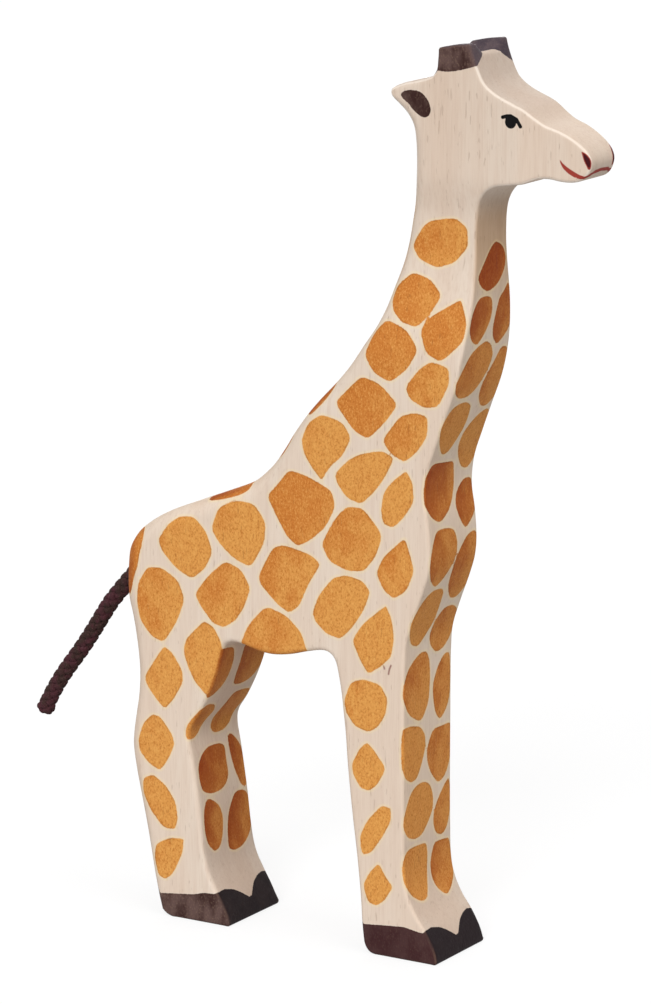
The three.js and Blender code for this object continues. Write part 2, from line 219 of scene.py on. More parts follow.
def in_plane(shares):
    shares = np.asarray(shares, float)
    return np.stack(
        [(shares[..., 0] - 0.5) * FIGURE_LENGTH, shares[..., 1] * FIGURE_HEIGHT], -1)


def half_thickness(x, z):
    """Half of the board's thickness at places of its middle plane."""
    lift = z / FIGURE_HEIGHT
    neckward = smoothstep(lift, SHOULDER_HEIGHT_SHARE, THROAT_HEIGHT_SHARE)
    headward = smoothstep(lift, JAW_HEIGHT_SHARE, BROW_HEIGHT_SHARE)
    along = (x / FIGURE_LENGTH + 0.5 - BROW_LENGTH_SHARE) / (1 - BROW_LENGTH_SHARE)
    head = mix(HEAD_THICKNESS, MUZZLE_THICKNESS, np.clip(along, 0, 1))
    neck = mix(BOARD_THICKNESS, NECK_THICKNESS, neckward)
    return mix(neck, head, headward) / 2


# Outline of the figure

def spline_place(points, place):
    """A place on the uniform spline through the points, as three.js draws it."""
    last = len(points) - 1
    index = min(int(place), last - 1)
    t = place - index
    before = points[max(index - 1, 0)]
    start = points[index]
    end = points[index + 1]
    after = points[min(index + 2, last)]
    leave = (end - before) / 2
    arrive = (after - start) / 2
    cubic = 2 * start - 2 * end + leave + arrive
    square = -3 * start + 3 * end - 2 * leave - arrive
    return ((cubic * t + square) * t + leave) * t + start


def value_along(values, place):
    scaled = place * (len(values) - 1)
    index = min(int(scaled), len(values) - 2)
    return mix(values[index], values[index + 1], scaled - index)


def sample_stretch(index):
    shares, roundings = STRETCHES[index]
    points = in_plane(shares)
    spans = len(points) - 1
    samples = []
    for span in range(spans):
        length = np.linalg.norm(points[span + 1] - points[span])
        count = max(1, math.ceil(length / OUTLINE_SPACING))
        for step in range(count):
            place = span + step / count
            samples.append((spline_place(points, place), value_along(roundings, place / spans)))
    samples.append((points[-1], roundings[-1]))
    return [
        (point, rounding) for point, rounding in samples
        if np.linalg.norm(point - points[0]) > CORNER_SOFTENINGS[index - 1]
        and np.linalg.norm(point - points[-1]) > CORNER_SOFTENINGS[index]
    ]


def soft_corner(before, corner, after, softening):
    start = mix(corner, before, softening / np.linalg.norm(before - corner))
    end = mix(corner, after, softening / np.linalg.norm(after - corner))
    places = np.linspace(0, 1, SOFT_CORNER_STEPS)
    return [(mix(mix(start, corner, t), mix(corner, end, t), t), SOLE_ROUNDING) for t in places]


def sample_outline():
    """The closed outline as points, roundings and the number of the stretch of each point."""
    sampled = [sample_stretch(index) for index in range(len(STRETCHES))]
    points = []
    roundings = []
    stretch_of = []
    for index, samples in enumerate(sampled):
        following = sampled[(index + 1) % len(sampled)]
        corner = in_plane(STRETCHES[index][0][-1])
        rounded = soft_corner(samples[-1][0], corner, following[0][0], CORNER_SOFTENINGS[index])
        for point, rounding in samples + rounded:
            points.append(point)
            roundings.append(rounding)
            stretch_of.append(index)
    return np.array(points), np.array(roundings), np.array(stretch_of)


def inward_directions(points):
    along = np.roll(points, -1, 0) - np.roll(points, 1, 0)
    along /= np.linalg.norm(along, axis=1, keepdims=True)
    return np.stack([-along[:, 1], along[:, 0]], -1)


def room_inside(points, inward):
    """The radius of the largest circle inside the outline that touches it at each point."""
    rooms = []
    for here, direction in zip(points, inward):
        offset = points - here
        depth = offset @ direction
        inside = depth > TINY
        rooms.append(np.min((offset[inside] ** 2).sum(1) / (2 * depth[inside])))
    return np.array(rooms)


def limited_roundings(points, roundings, inward):
    limit = np.minimum(roundings, ROOM_SHARE * room_inside(points, inward))
    smooth = limit
    for _ in range(ROUNDING_SMOOTHINGS):
        smooth = (np.roll(smooth, 1) + 2 * smooth + np.roll(smooth, -1)) / 4
        smooth = np.minimum(smooth, limit)
    return smooth


OUTLINE, ROUNDINGS, STRETCH_OF = sample_outline()
INWARD = inward_directions(OUTLINE)
ROUNDINGS = limited_roundings(OUTLINE, ROUNDINGS, INWARD)
STEP_LENGTHS = np.linalg.norm(np.roll(OUTLINE, -1, 0) - OUTLINE, axis=1)
REACH = np.concatenate([[0], np.cumsum(STEP_LENGTHS)[:-1]])


# Mesh of the figure

def board_levels():
    """Levels of points across the board, from one flank's rim round to the other's."""
    rounds = []
    for step in range(ROUNDING_STEPS, -1, -1):
        angle = step / ROUNDING_STEPS * math.pi / 2
        points = OUTLINE + INWARD * (ROUNDINGS * (1 - math.cos(angle)))[:, None]
        half = half_thickness(points[:, 0], points[:, 1])
        rounds.append((points, half - ROUNDINGS * (1 - math.sin(angle))))
    points, half = rounds[-1]
    columns = [(points, half * share) for share in COLUMN_SHARES[:0:-1]]
    near = [(place, -across) for place, across in rounds + columns]
    far = [(place, across) for place, across in (rounds + columns)[::-1]]
    return near + [(points, half * 0)] + far


def inside_polygon(points, polygon):
    inside = np.zeros(len(points), bool)
    x, z = points[:, 0], points[:, 1]
    for (ax, az), (bx, bz) in zip(polygon, np.roll(polygon, -1, 0)):
        crosses = (az > z) != (bz > z)
        if az != bz:
            inside ^= crosses & (x < (bx - ax) * (z - az) / (bz - az) + ax)
    return inside


def hex_grid(low, high, spacing):
    row_height = spacing * math.sqrt(3) / 2
    rows = []
    for row in range(int((high[1] - low[1]) / row_height) + 1):
        start = low[0] + (row % 2) * spacing / 2
        x = np.arange(start, high[0], spacing)
        rows.append(np.stack([x, np.full_like(x, low[1] + row * row_height)], -1))
    return np.concatenate(rows)


# Painted details that need a finer mesh, as (x, z, reach): eye, nostril, mouth, ear and pin knots
DETAIL_DISCS = ((51.6, 240, 4.2), (72.2, 230.6, 3.6), (68.6, 228, 4.6), (21.2, 242.9, 6.4),
                (14.8, 83.8, 3))


def point_finder(points):
    """A tree that finds the nearest of the points in the figure's plane."""
    tree = KDTree(len(points))
    for index, (x, z) in enumerate(points):
        tree.insert((x, z, 0), index)
    tree.balance()
    return tree


def flank_mesh():
    """Points and triangles of one flank inside the rim of its rounded edge."""
    rim = OUTLINE + INWARD * ROUNDINGS[:, None]
    grid = hex_grid(rim.min(0), rim.max(0), FLANK_SPACING)
    for x, z, reach in DETAIL_DISCS:
        centre = np.array([x, z])
        grid = grid[np.linalg.norm(grid - centre, axis=1) > reach]
        fine = hex_grid(centre - reach, centre + reach, DETAIL_SPACING)
        grid = np.concatenate([grid, fine[np.linalg.norm(fine - centre, axis=1) < reach]])
    grid = grid[inside_polygon(grid, rim)]
    tree = point_finder(rim)
    clear = [tree.find((x, z, 0))[2] > RIM_CLEARANCE for x, z in grid]
    grid = grid[np.array(clear)]
    count = len(rim)
    edges = [(i, (i + 1) % count) for i in range(count)]
    places = [Vector(point) for point in np.concatenate([rim, grid])]
    _, _, triangles, origins, _, _ = delaunay_2d_cdt(places, edges, [], 1, MERGE_REACH)
    order = {index: origin[0] for index, origin in enumerate(origins) if origin}
    kept = [[order[a] for a in triangle] for triangle in triangles]
    return grid, kept


def new_mesh_object(name, vertices, faces):
    mesh = bpy.data.meshes.new(name)
    mesh.from_pydata((np.asarray(vertices) * MM).tolist(), [], faces)
    mesh.validate()
    mesh.update()
    obj = bpy.data.objects.new(name, mesh)
    bpy.context.scene.collection.objects.link(obj)
    return obj


def set_field(mesh, name, values):
    attribute = mesh.attributes.new(name, "FLOAT", "POINT")
    attribute.data.foreach_set("value", values.astype(np.float32))


def board_object():
    levels = board_levels()
    count = len(OUTLINE)
    grid, triangles = flank_mesh()
    vertices = [np.column_stack([p[:, 0], across, p[:, 1]]) for p, across in levels]
    faces = []
    for level in range(len(levels) - 1):
        start = level * count
        for i in range(count):
            j = (i + 1) % count
            faces.append((start + i, start + count + i, start + count + j, start + j))
    total = len(levels) * count
    half = half_thickness(grid[:, 0], grid[:, 1])
    rims = (0, (len(levels) - 1) * count)
    for side, rim in zip((-1, 1), rims):
        vertices.append(np.column_stack([grid[:, 0], side * half, grid[:, 1]]))
        corner = [rim + i if i < count else total + i - count for i in range(count + len(grid))]
        for triangle in triangles:
            a, b, c = (corner[k] for k in triangle)
            faces.append((a, b, c) if side < 0 else (a, c, b))
        total += len(grid)
    return new_mesh_object("giraffe_figure", np.concatenate(vertices), faces)


# Centre line of the tail cord

def tail_points():
    mouth = in_plane(TAIL_MOUTH_SHARES)
    return [np.array([mouth[0] + back, 0, mouth[1] + up]) for back, up in TAIL_ROUTE]


def centripetal_span(points, index, places):
    """Places on one span of the centripetal spline through the points, as three.js draws it."""
    start, end = points[index], points[index + 1]
    before = points[index - 1] if index > 0 else 2 * start - end
    after = points[index + 2] if index + 2 < len(points) else 2 * end - start
    knots = [max(np.linalg.norm(b - a), TINY) ** 0.5
             for a, b in ((before, start), (start, end), (end, after))]
    leave = (start - before) / knots[0] - (end - before) / (knots[0] + knots[1])
    leave = (leave + (end - start) / knots[1]) * knots[1]
    arrive = (end - start) / knots[1] - (after - start) / (knots[1] + knots[2])
    arrive = (arrive + (after - end) / knots[2]) * knots[1]
    t = places[:, None]
    cubic = 2 * start - 2 * end + leave + arrive
    square = -3 * start + 3 * end - 2 * leave - arrive
    return ((cubic * t + square) * t + leave) * t + start


def tail_line():
    """The cord's centre line as points close together, with the length up to each of them."""
    points = tail_points()
    places = np.linspace(0, 1, TAIL_SPAN_STEPS, endpoint=False)
    spans = [centripetal_span(points, index, places) for index in range(len(points) - 1)]
    line = np.concatenate(spans + [points[-1][None]])
    steps = np.linalg.norm(np.diff(line, axis=0), axis=1)
    return line, np.concatenate([[0], np.cumsum(steps)])


TAIL_LINE, TAIL_REACH = tail_line()
TAIL_LENGTH = TAIL_REACH[-1]
TAIL_START = (TAIL_LINE[1] - TAIL_LINE[0]) / np.linalg.norm(TAIL_LINE[1] - TAIL_LINE[0])


def cord_place(distance):
    """A place on the cord's centre line, straight on into the hole for a negative distance."""
    if distance < 0:
        return TAIL_LINE[0] + TAIL_START * distance
    return np.array([np.interp(distance, TAIL_REACH, TAIL_LINE[:, axis]) for axis in range(3)])


def cord_direction(distance):
    ahead = cord_place(min(distance + CORD_TURN_STEP, TAIL_LENGTH))
    behind = cord_place(min(distance, TAIL_LENGTH - CORD_TURN_STEP) - CORD_TURN_STEP)
    return (ahead - behind) / np.linalg.norm(ahead - behind)


EXIT_TILT = math.atan2(-TAIL_START[2], -TAIL_START[0])
SIDE_PIVOT = CORD_DIAMETER / 2 * math.tan(EXIT_TILT) + 2 * JOINT_GAP
CORD_BREAK = SIDE_PIVOT + ROOT_LENGTH / 2
CORD_INNER_END = -HOLE_DEPTH + GLUE_THICKNESS + 2 * JOINT_GAP


def make_camera():
    back = Vector((
        math.sin(CAMERA_AZIMUTH) * math.cos(CAMERA_ELEVATION),
        -math.cos(CAMERA_AZIMUTH) * math.cos(CAMERA_ELEVATION),
        math.sin(CAMERA_ELEVATION),
    ))
    right = Vector((math.cos(CAMERA_AZIMUTH), math.sin(CAMERA_AZIMUTH), 0))
    up = back.cross(right)
    data = bpy.data.cameras.new("camera")
    data.sensor_width = SENSOR
    data.lens = LENS
    camera = bpy.data.objects.new("camera", data)
    bpy.context.scene.collection.objects.link(camera)
    turn = Matrix((right, up, back)).transposed().to_4x4()
    camera.matrix_world = Matrix.Translation(CAMERA_TARGET + back * CAMERA_DISTANCE) @ turn
    bpy.context.scene.camera = camera


make_camera()


# The braided cord

def tip_shrink(distance):
    """How much of its radius the cord keeps near its bare tip, a little frayed before it rounds."""
    left = (TAIL_LENGTH - distance) / TIP_LENGTH
    frayed = 1 + TIP_SWELLING * smoothstep(left, *TIP_SWELLING_REACHES)
    return frayed * math.sqrt(max(1 - (1 - np.clip(left, 0, 1)) ** 2, TIP_BLUNTNESS))


def cord_frame(distance):
    direction = cord_direction(distance)
    return cord_place(distance), np.cross(SIDEWAYS, direction), direction


def circle(centre, upward, radius, sides):
    """Points round a centre, from sideways towards upward."""
    turns = [side / sides * 2 * math.pi for side in range(sides)]
    return [centre + radius * (SIDEWAYS * math.cos(turn) + upward * math.sin(turn))
            for turn in turns]


def add_tube(vertices, faces, rings):
    """Adds a closed tube through rings of points with as many sides each."""
    start = len(vertices)
    sides = len(rings[0])
    for ring in rings:
        vertices.extend(ring)
    for level in range(len(rings) - 1):
        low = start + level * sides
        for i in range(sides):
            j = (i + 1) % sides
            faces.append((low + i, low + sides + i, low + sides + j, low + j))
    top = start + (len(rings) - 1) * sides
    faces.append(tuple(range(start, start + sides)))
    faces.append(tuple(range(top + sides - 1, top - 1, -1)))


def strand_ring(distance, way, number):
    centre, upward, direction = cord_frame(distance)
    turn = 2 * math.pi * distance / BRAID_LAY
    angle = way * turn + number * 2 * math.pi / BRAID_STRANDS
    radius = BRAID_RADIUS + BRAID_SWING * way * math.cos(BRAID_STRANDS * turn)
    outward = SIDEWAYS * math.cos(angle) + upward * math.sin(angle)
    around = np.cross(outward, direction)
    tilt = math.atan(way * 2 * math.pi * radius / BRAID_LAY)
    ring = []
    for side in range(STRAND_SIDES):
        turned = side / STRAND_SIDES * 2 * math.pi
        across = STRAND_WIDTH * math.sin(turned)
        ahead = min(-across * math.sin(tilt), TAIL_LENGTH - distance)
        aside = outward * (radius + STRAND_HEIGHT * math.cos(turned))
        aside = aside + around * across * math.cos(tilt)
        ring.append(centre + aside * tip_shrink(distance + ahead) + direction * ahead)
    return ring


def core_ring(distance):
    centre, upward, _ = cord_frame(distance)
    return circle(centre, upward, CORE_RADIUS * tip_shrink(distance), CORE_SIDES)


def braided_cord(name, start, end):
    distances = np.linspace(start, end, max(2, int((end - start) / CORD_STEP)))
    vertices = []
    faces = []
    add_tube(vertices, faces, [core_ring(distance) for distance in distances])
    crest = [0] * len(vertices)
    turns = np.arange(STRAND_SIDES) / STRAND_SIDES * 2 * math.pi
    for way in BRAID_WAYS:
        for number in range(BRAID_STRANDS):
            add_tube(vertices, faces, [strand_ring(d, way, number) for d in distances])
            crest += list(np.cos(turns) / 2 + 0.5) * len(distances)
    obj = new_mesh_object(name, vertices, faces)
    set_field(obj.data, "strand_crest", np.array(crest))
    obj.data.polygons.foreach_set("use_smooth", [True] * len(obj.data.polygons))
    return obj


def make_tail():
    root = braided_cord("tail_braid_root", CORD_INNER_END, CORD_BREAK)
    free = braided_cord("tail_braid", CORD_BREAK, TAIL_LENGTH)
    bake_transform(root)
    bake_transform(free)
    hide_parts("tail_cord_glued_end")
    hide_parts("tail_cord_root", "tail_cord")
    return root, free


tail_pieces = make_tail()


# Spots and painted parts

# How deep the stain took in a patch
PALE = 0.15
EVEN = 0.45
FULL = 0.55
DEEP = 0.75
DARK = 1

# Stained patches on the near flank: corners (x, z) just outside the rounded patch. A third number
# is how far that corner is rounded.
NEAR_FLANK_PATCHES = (
    ((19.1, 203.6), (24, 211), (33.5, 212.8), (37.6, 209.8), (37.8, 204.2), (33.6, 199.4),
     (27.8, 197.4), (21.6, 199.6)),
    ((14, 188), (15.2, 192.4), (20.4, 196.8), (26.5, 195.2), (30.8, 190.8), (27.5, 185),
     (23.4, 180.9), (18, 182), (15, 185)),
    ((24, 180.5), (26, 184.5), (36.6, 191, 0.35), (39.4, 184), (38.6, 178.5), (31.8, 172.2),
     (26.5, 174.2)),
    ((6.6, 172.5), (9, 178.8), (13.5, 183.4), (20.5, 181), (24.9, 175.5), (21.5, 169.5),
     (15.6, 164.9), (9.9, 167.3)),
    ((-3, 158), (2, 163), (6.2, 166.9), (12.5, 165.3), (18.8, 159.6), (14.2, 153.6),
     (8.6, 148.2), (3.6, 150.2)),
    ((19.8, 164.8), (24.5, 170.6), (28.5, 173.2), (34.6, 171.8), (34.9, 166.8), (31.2, 159.8),
     (26.5, 158.9), (21.6, 161)),
    ((12.4, 149), (18.4, 156.8), (23.5, 158.4), (28, 157.6), (28, 151.5), (24.5, 146.4),
     (20.3, 143), (15.6, 145)),
    ((-13.8, 146.2), (-11.6, 151.6), (-6.8, 154.8), (0.5, 153.2), (3.6, 148.6), (0.6, 142.8),
     (-3.6, 139.2), (-6.5, 134.6, 0.5), (-9.8, 138), (-12.6, 141.8)),
    ((-2.8, 138), (1.8, 142.6), (5.8, 144.8), (13, 146.6), (17.6, 144.6), (14.5, 138.6),
     (11.5, 134.4), (6.6, 129.6), (1.6, 130.8), (-2, 134.8)),
    ((12.2, 129), (13, 134.2), (15.5, 137.6), (20.8, 142, 0.45), (23.4, 138.2),
     (23.8, 132.6), (20.8, 128), (16.8, 124), (13, 125)),
    ((-7.4, 117.2), (-2.2, 126), (1.6, 129.4), (7.2, 129.6), (13.8, 122.4), (11.6, 115.6),
     (7.5, 110.6), (2, 110), (-4.2, 112)),
    ((10.6, 111), (13.2, 116.4), (20.6, 123, 0.45), (22.6, 118), (24, 113),
     (21.4, 106.8), (17, 103.8), (13.4, 106)),
    ((-10.2, 97), (-8, 102.6), (-3.2, 108.4), (1.5, 109.8), (7, 108.8), (10, 105.6),
     (7.6, 99.6), (3.8, 94), (-0.4, 90), (-5.4, 91.2), (-9, 94.2)),
    ((2.8, 90.8), (6.6, 96.4), (14.6, 103, 0.4), (16.8, 98.6), (17.6, 93), (16.6, 87.4),
     (13, 84), (8.6, 81), (5.6, 85.2)),
    ((-25.2, 129), (-21.5, 133), (-17.5, 137.8), (-11, 136.6), (-2.8, 133.2), (-1.6, 128.2),
     (-4.8, 122), (-9.5, 117.8), (-14.4, 115), (-18.2, 117.4), (-21.8, 123)),
    ((-44, 117), (-41.2, 124.2), (-35, 127), (-28.6, 126.6), (-24.6, 121.4),
     (-25, 115.2), (-29.8, 107), (-36, 109), (-40.8, 112.8)),
    ((-28.8, 104.2), (-23.2, 114.6), (-19, 116), (-10, 114.2), (-6.2, 111.4),
     (-10.5, 105), (-13.6, 98), (-17.4, 95.4), (-21.6, 97.6)),
    ((-49.6, 97.6), (-45, 103.6), (-38.8, 109), (-33, 107), (-29.6, 101.6), (-32, 95.4),
     (-35, 91), (-39.2, 88.4), (-43.2, 89.2), (-47.6, 94)),
    ((-34.6, 84), (-31.5, 91), (-25.2, 97.6), (-18, 95.6), (-12.8, 91), (-10.6, 84.5),
     (-14, 80), (-30, 80)),
    ((-62, 112), (-58.6, 117), (-54.5, 120), (-49, 120.6), (-44.6, 116.4),
     (-42.4, 110.4), (-45, 105.2), (-49.8, 101.2), (-55.4, 103.6), (-60.6, 108.4)),
    ((-69.5, 93), (-69, 98.4), (-65.6, 103.8), (-60.4, 104.4), (-54.4, 101.2), (-52, 95.6),
     (-54.4, 89), (-59.4, 81.4), (-64, 82.4), (-68.2, 87)),
    ((-67, 71), (-62.8, 77.4), (-59.8, 81.4), (-56.6, 79.6), (-53, 74.6), (-52.8, 70.6),
     (-56.2, 65), (-59.6, 61.4), (-62.8, 64.2), (-66.2, 68.2)),
    ((-53.6, 80), (-52.6, 84), (-49.8, 87), (-46, 90.6), (-42.4, 89), (-39.6, 84.6),
     (-40, 78), (-44, 66), (-46.5, 68.5), (-49.8, 71.5), (-52, 75.6)),
    ((-69.4, 51.8), (-67.6, 57), (-64, 60.6), (-60.8, 60), (-56.6, 55), (-55.8, 52),
     (-58, 47.2), (-61.2, 42.8), (-65.4, 44.6), (-68.8, 48)),
    ((-67.8, 40.6), (-63.8, 42.6), (-59, 39.6), (-55.6, 35), (-54.8, 30), (-56, 26),
     (-60.6, 26), (-65, 30.6), (-68, 36)),
    ((-64.2, 16.8), (-63.4, 21.6), (-58, 24.4), (-52.8, 24.6, 0.5), (-53.4, 19.6),
     (-56.6, 13), (-59.6, 10.4), (-62.6, 11.4)),
    ((0.2, 73), (2.6, 79), (7, 80.6), (13, 79.6), (15.6, 75.6), (14.8, 70.4), (12.2, 66.4),
     (8.8, 64.4), (4, 65.6), (1, 69.4)),
    ((2.8, 55), (5.6, 60.2), (8.4, 62.6), (11, 60.4), (15.2, 55.2), (12.2, 49.8), (9.4, 47.4),
     (6, 47.8), (3.4, 51.6)),
    ((5.6, 34.6), (8.2, 39.6), (13, 44.8), (16.6, 44.4), (16.8, 40), (13.4, 34),
     (10, 29.4), (6.6, 28.2), (5.8, 31.2)),
    ((6.6, 20), (9, 24.6), (12.4, 28, 0.6), (15, 23.8), (17.6, 21, 0.6), (14.6, 16.2),
     (11.6, 14), (8.4, 14.8)),
)
FLANK_TONES = (
    EVEN, DEEP, DEEP, DEEP, DEEP, EVEN, EVEN, PALE, PALE, PALE,
    EVEN, EVEN, PALE, PALE, DEEP, PALE, EVEN, EVEN, EVEN, PALE,
    EVEN, PALE, PALE, PALE, PALE, PALE, PALE, PALE, PALE, PALE,
)
FLANK_CORNER_SHARE = 0.62
FLANK_PATCH_INSET = 0.5

# Patches on the sawn faces: corners (share of the half thickness from the middle, z)
NECK_AND_LEG_PATCHES = (
    ((0.25, 206), (0.75, 203.8), (0.95, 200.5), (0.85, 196.5), (0.4, 192.2), (-0.2, 190.3),
     (-0.65, 192.5), (-0.92, 196), (-0.6, 199.6), (-0.15, 203.8)),
    ((-0.62, 191.2), (-0.2, 191.2), (0.08, 190), (0.16, 186.5), (0.1, 182.8), (-0.15, 178.6),
     (-0.42, 175.8), (-0.75, 177.8), (-0.96, 181.5), (-0.97, 186), (-0.85, 189.3)),
    ((0.9, 194), (1.1, 190), (1.12, 183), (0.95, 178.6), (0.7, 176.2), (0.42, 174.2),
     (0.15, 177.5), (0.1, 181), (0.18, 185), (0.32, 189.2), (0.66, 191.6)),
    ((-0.35, 177.4), (-0.02, 178.4), (0.25, 176.5), (0.42, 173), (0.34, 169), (0.16, 165.4),
     (-0.02, 162.8), (-0.3, 161), (-0.7, 161.3), (-0.98, 163.6), (-1.05, 167.5), (-0.88, 171.5),
     (-0.66, 175.5)),
    ((0.62, 175.2), (0.95, 174.8), (1.12, 170), (1.12, 161), (0.95, 158), (0.7, 156),
     (0.4, 156.8), (0.14, 160.4), (0.08, 164), (0.2, 167.6), (0.4, 171)),
    ((-0.7, 161), (-0.3, 161.4), (0.05, 159.5), (0.12, 156), (0.1, 152), (-0.06, 148.6),
     (-0.28, 144.8), (-0.6, 144.6), (-0.9, 149), (-1.03, 152.8), (-1.02, 156.4), (-0.9, 159.4)),
    ((0.5, 156), (0.85, 157), (1.1, 154), (1.1, 146), (1.05, 141.4), (0.75, 137.6), (0.42, 138.6),
     (0.14, 143), (-0.02, 147), (0.02, 150.6), (0.2, 153.4)),
    ((-0.85, 144.4), (-0.3, 143.6), (0.12, 143), (0.24, 138.5), (0.27, 134.5), (0.14, 130.4),
     (-0.1, 127.4), (-0.5, 125), (-0.85, 127.4), (-1.04, 131.2), (-1.06, 136), (-1.04, 141)),
    ((0.6, 136.8), (0.95, 136.4), (1.05, 132), (1.05, 126.5), (0.85, 123.6), (0.5, 120.8),
     (0.28, 124), (0.12, 128.6), (0.2, 132.4), (0.38, 135)),
    ((-0.7, 125), (-0.25, 125), (0.1, 123.6), (0.23, 119), (0.17, 114.6), (-0.02, 111),
     (-0.25, 108), (-0.5, 106.4), (-0.85, 109.6), (-1, 113.6), (-1, 117.5), (-0.88, 121.8)),
    ((0.55, 121), (0.92, 121.6), (1.1, 118), (1.1, 108), (1, 103.4), (0.7, 100.2), (0.35, 101),
     (0.05, 105.4), (-0.02, 110), (0.06, 114.6), (0.25, 117.8)),
    ((-0.55, 107.4), (-0.15, 107.2), (0.06, 105.2), (0.1, 100), (0.07, 95.4), (-0.15, 91.6),
     (-0.45, 88.6), (-0.8, 90.2), (-1, 94.6), (-1.05, 98), (-0.98, 102.4), (-0.8, 105.6)),
    ((0.3, 100), (0.7, 99.8), (1.03, 97), (1.05, 92.4), (0.95, 88.6), (0.65, 85.4), (0.3, 84.8),
     (0.03, 87.6), (-0.08, 91), (-0.04, 94.6), (0.1, 98)),
    ((-0.35, 88.4), (-0.05, 88.2), (0.13, 84.6), (0.16, 78), (0.1, 72), (-0.06, 69),
     (-0.22, 66.8), (-0.45, 67.2), (-0.85, 70.4), (-1.06, 75.6), (-1.04, 80.2), (-0.9, 84),
     (-0.65, 86.6)),
    ((0.65, 85.4), (0.95, 85), (1, 78), (0.98, 71), (0.8, 67), (0.5, 64.4), (0.26, 67.6),
     (0.15, 73), (0.15, 77.5), (0.35, 82)),
    ((-1.04, 68.2), (-0.7, 68.2), (-0.25, 66.8), (-0.02, 63), (-0.03, 58.6), (-0.2, 54),
     (-0.4, 50.4), (-0.68, 49.8), (-0.96, 52), (-1.08, 56), (-1.08, 64)),
    ((0.2, 64.6), (0.6, 64.4), (1.02, 64.4), (1.08, 58), (0.98, 51.6), (0.75, 47.4), (0.42, 46.2),
     (0.08, 50.6), (-0.09, 55.4), (-0.06, 60)),
    ((-0.45, 50.2), (-0.1, 50.4), (0.17, 48.4), (0.32, 44), (0.27, 39.4), (0.04, 36),
     (-0.2, 33.4), (-0.52, 32.8), (-0.85, 34.4), (-1.04, 37.8), (-1.02, 42), (-0.84, 46.2),
     (-0.7, 48.6)),
    ((0.7, 47), (0.92, 48.6), (1.03, 44), (1, 37), (0.85, 32.4), (0.6, 30.4), (0.28, 32.2),
     (0.17, 36), (0.2, 39.6), (0.38, 43)),
    ((-0.8, 32.6), (-0.4, 32.6), (0, 32.2), (0.06, 27.5), (-0.02, 22.4), (-0.12, 18.2),
     (-0.3, 15.4), (-0.6, 15.4), (-0.9, 18), (-1.06, 22), (-1.08, 27), (-1, 31)),
    ((0.25, 31.2), (0.6, 31), (0.95, 30.4), (1.03, 24), (1, 18.8), (0.75, 15.8), (0.38, 13.8),
     (0.08, 17.4), (0, 21.4), (0.02, 25), (0.12, 28.4)),
)
NECK_AND_LEG_TONES = (
    DARK, DEEP, DEEP, EVEN, EVEN, PALE, PALE, DEEP, DEEP, FULL, FULL,
    PALE, EVEN, EVEN, EVEN, PALE, EVEN, PALE, EVEN, PALE, FULL,
)
HIND_SHIN_PATCHES = (
    ((-1.1, 83), (-0.85, 83.2), (-0.45, 82.4), (-0.3, 78), (-0.32, 73.4), (-0.42, 69.6),
     (-0.7, 66.8), (-1.1, 66)),
    ((-0.12, 82), (0.5, 82), (1, 80), (1.03, 75.6), (0.98, 71.4), (0.75, 67.8), (0.35, 66.8),
     (-0.08, 67.8), (-0.15, 72), (-0.12, 77)),
    ((-0.8, 65.6), (-0.4, 64.2), (-0.25, 61), (-0.44, 57.5), (-0.57, 54.4), (-0.8, 53),
     (-1.05, 53.2), (-1.12, 56), (-1.09, 61), (-1.02, 64.2)),
    ((0.15, 66.2), (0.6, 66), (0.98, 65), (0.95, 60.4), (0.8, 57), (0.65, 53.6), (0.35, 52),
     (-0.05, 52.2), (-0.22, 54.6), (-0.2, 58.4), (-0.06, 62)),
    ((-0.3, 51), (0.15, 50.6), (0.36, 49), (0.34, 44), (0.36, 40), (0.2, 37), (-0.1, 35.6),
     (-0.5, 35.8), (-0.82, 37.6), (-0.9, 42), (-0.86, 46.4), (-0.62, 49.6)),
    ((0.42, 52), (0.66, 52), (0.95, 47.6), (1.05, 42), (1.05, 35.4), (0.85, 33.6), (0.66, 35),
     (0.48, 40.4), (0.4, 45), (0.38, 49)),
    ((-0.7, 36.4), (-0.48, 36.2), (-0.15, 33), (-0.05, 29), (-0.12, 24), (-0.3, 20),
     (-0.6, 19), (-0.86, 22.4), (-0.93, 27), (-0.9, 32), (-0.8, 34.8)),
    ((0.4, 35.4), (0.85, 34.8), (1.05, 31), (1.05, 25), (0.9, 20.4), (0.55, 17.6), (0.15, 17),
     (-0.12, 18.6), (-0.06, 25), (0.05, 30)),
)
HIND_SHIN_TONES = (FULL, FULL, EVEN, EVEN, DEEP, DEEP, DEEP, DEEP)
SAWN_CORNER_SHARE = 0.8
SAWN_PATCH_INSET = 0.85

# Painted details on the near flank: corners (x, z), and the eye as a disc
EAR_PAINT = (
    (16.7, 245.2), (18, 246.1), (20.3, 246.5), (22.8, 246.2), (24.7, 244.8), (26, 242.7),
    (26.2, 240.8), (25.4, 239.5), (24.1, 239.1), (22.5, 239.6), (20.6, 241), (19.3, 242.5),
    (18, 243.4), (16.9, 244.2),
)
EYE_CENTRE = (51, 239.8)
EYE_RADIUS = 1.72
LASH_LINE = ((48.5, 241), (49.8, 241.4), (51.1, 241.5), (52.8, 240.7), (53.9, 238.8))
LASH_HALF_WIDTH = 0.5
MOUTH_PAINT = (
    (65, 230.8), (66, 229.5), (67.7, 228.3), (69.5, 227.3), (71.2, 226.5), (74.5, 226.3),
    (74.5, 225.3), (70.9, 225.5), (69.2, 226), (67.4, 227), (66, 228.3), (65.3, 229.6),
)
LIP_LINE_MIDDLE = 227.6
LIP_LINE_ENDS = 226
LIP_HALF_WIDTH = 0.6
# How far inside their edges the mouth and lips keep the colour of the edge
MOUTH_DEPTH = 0.15
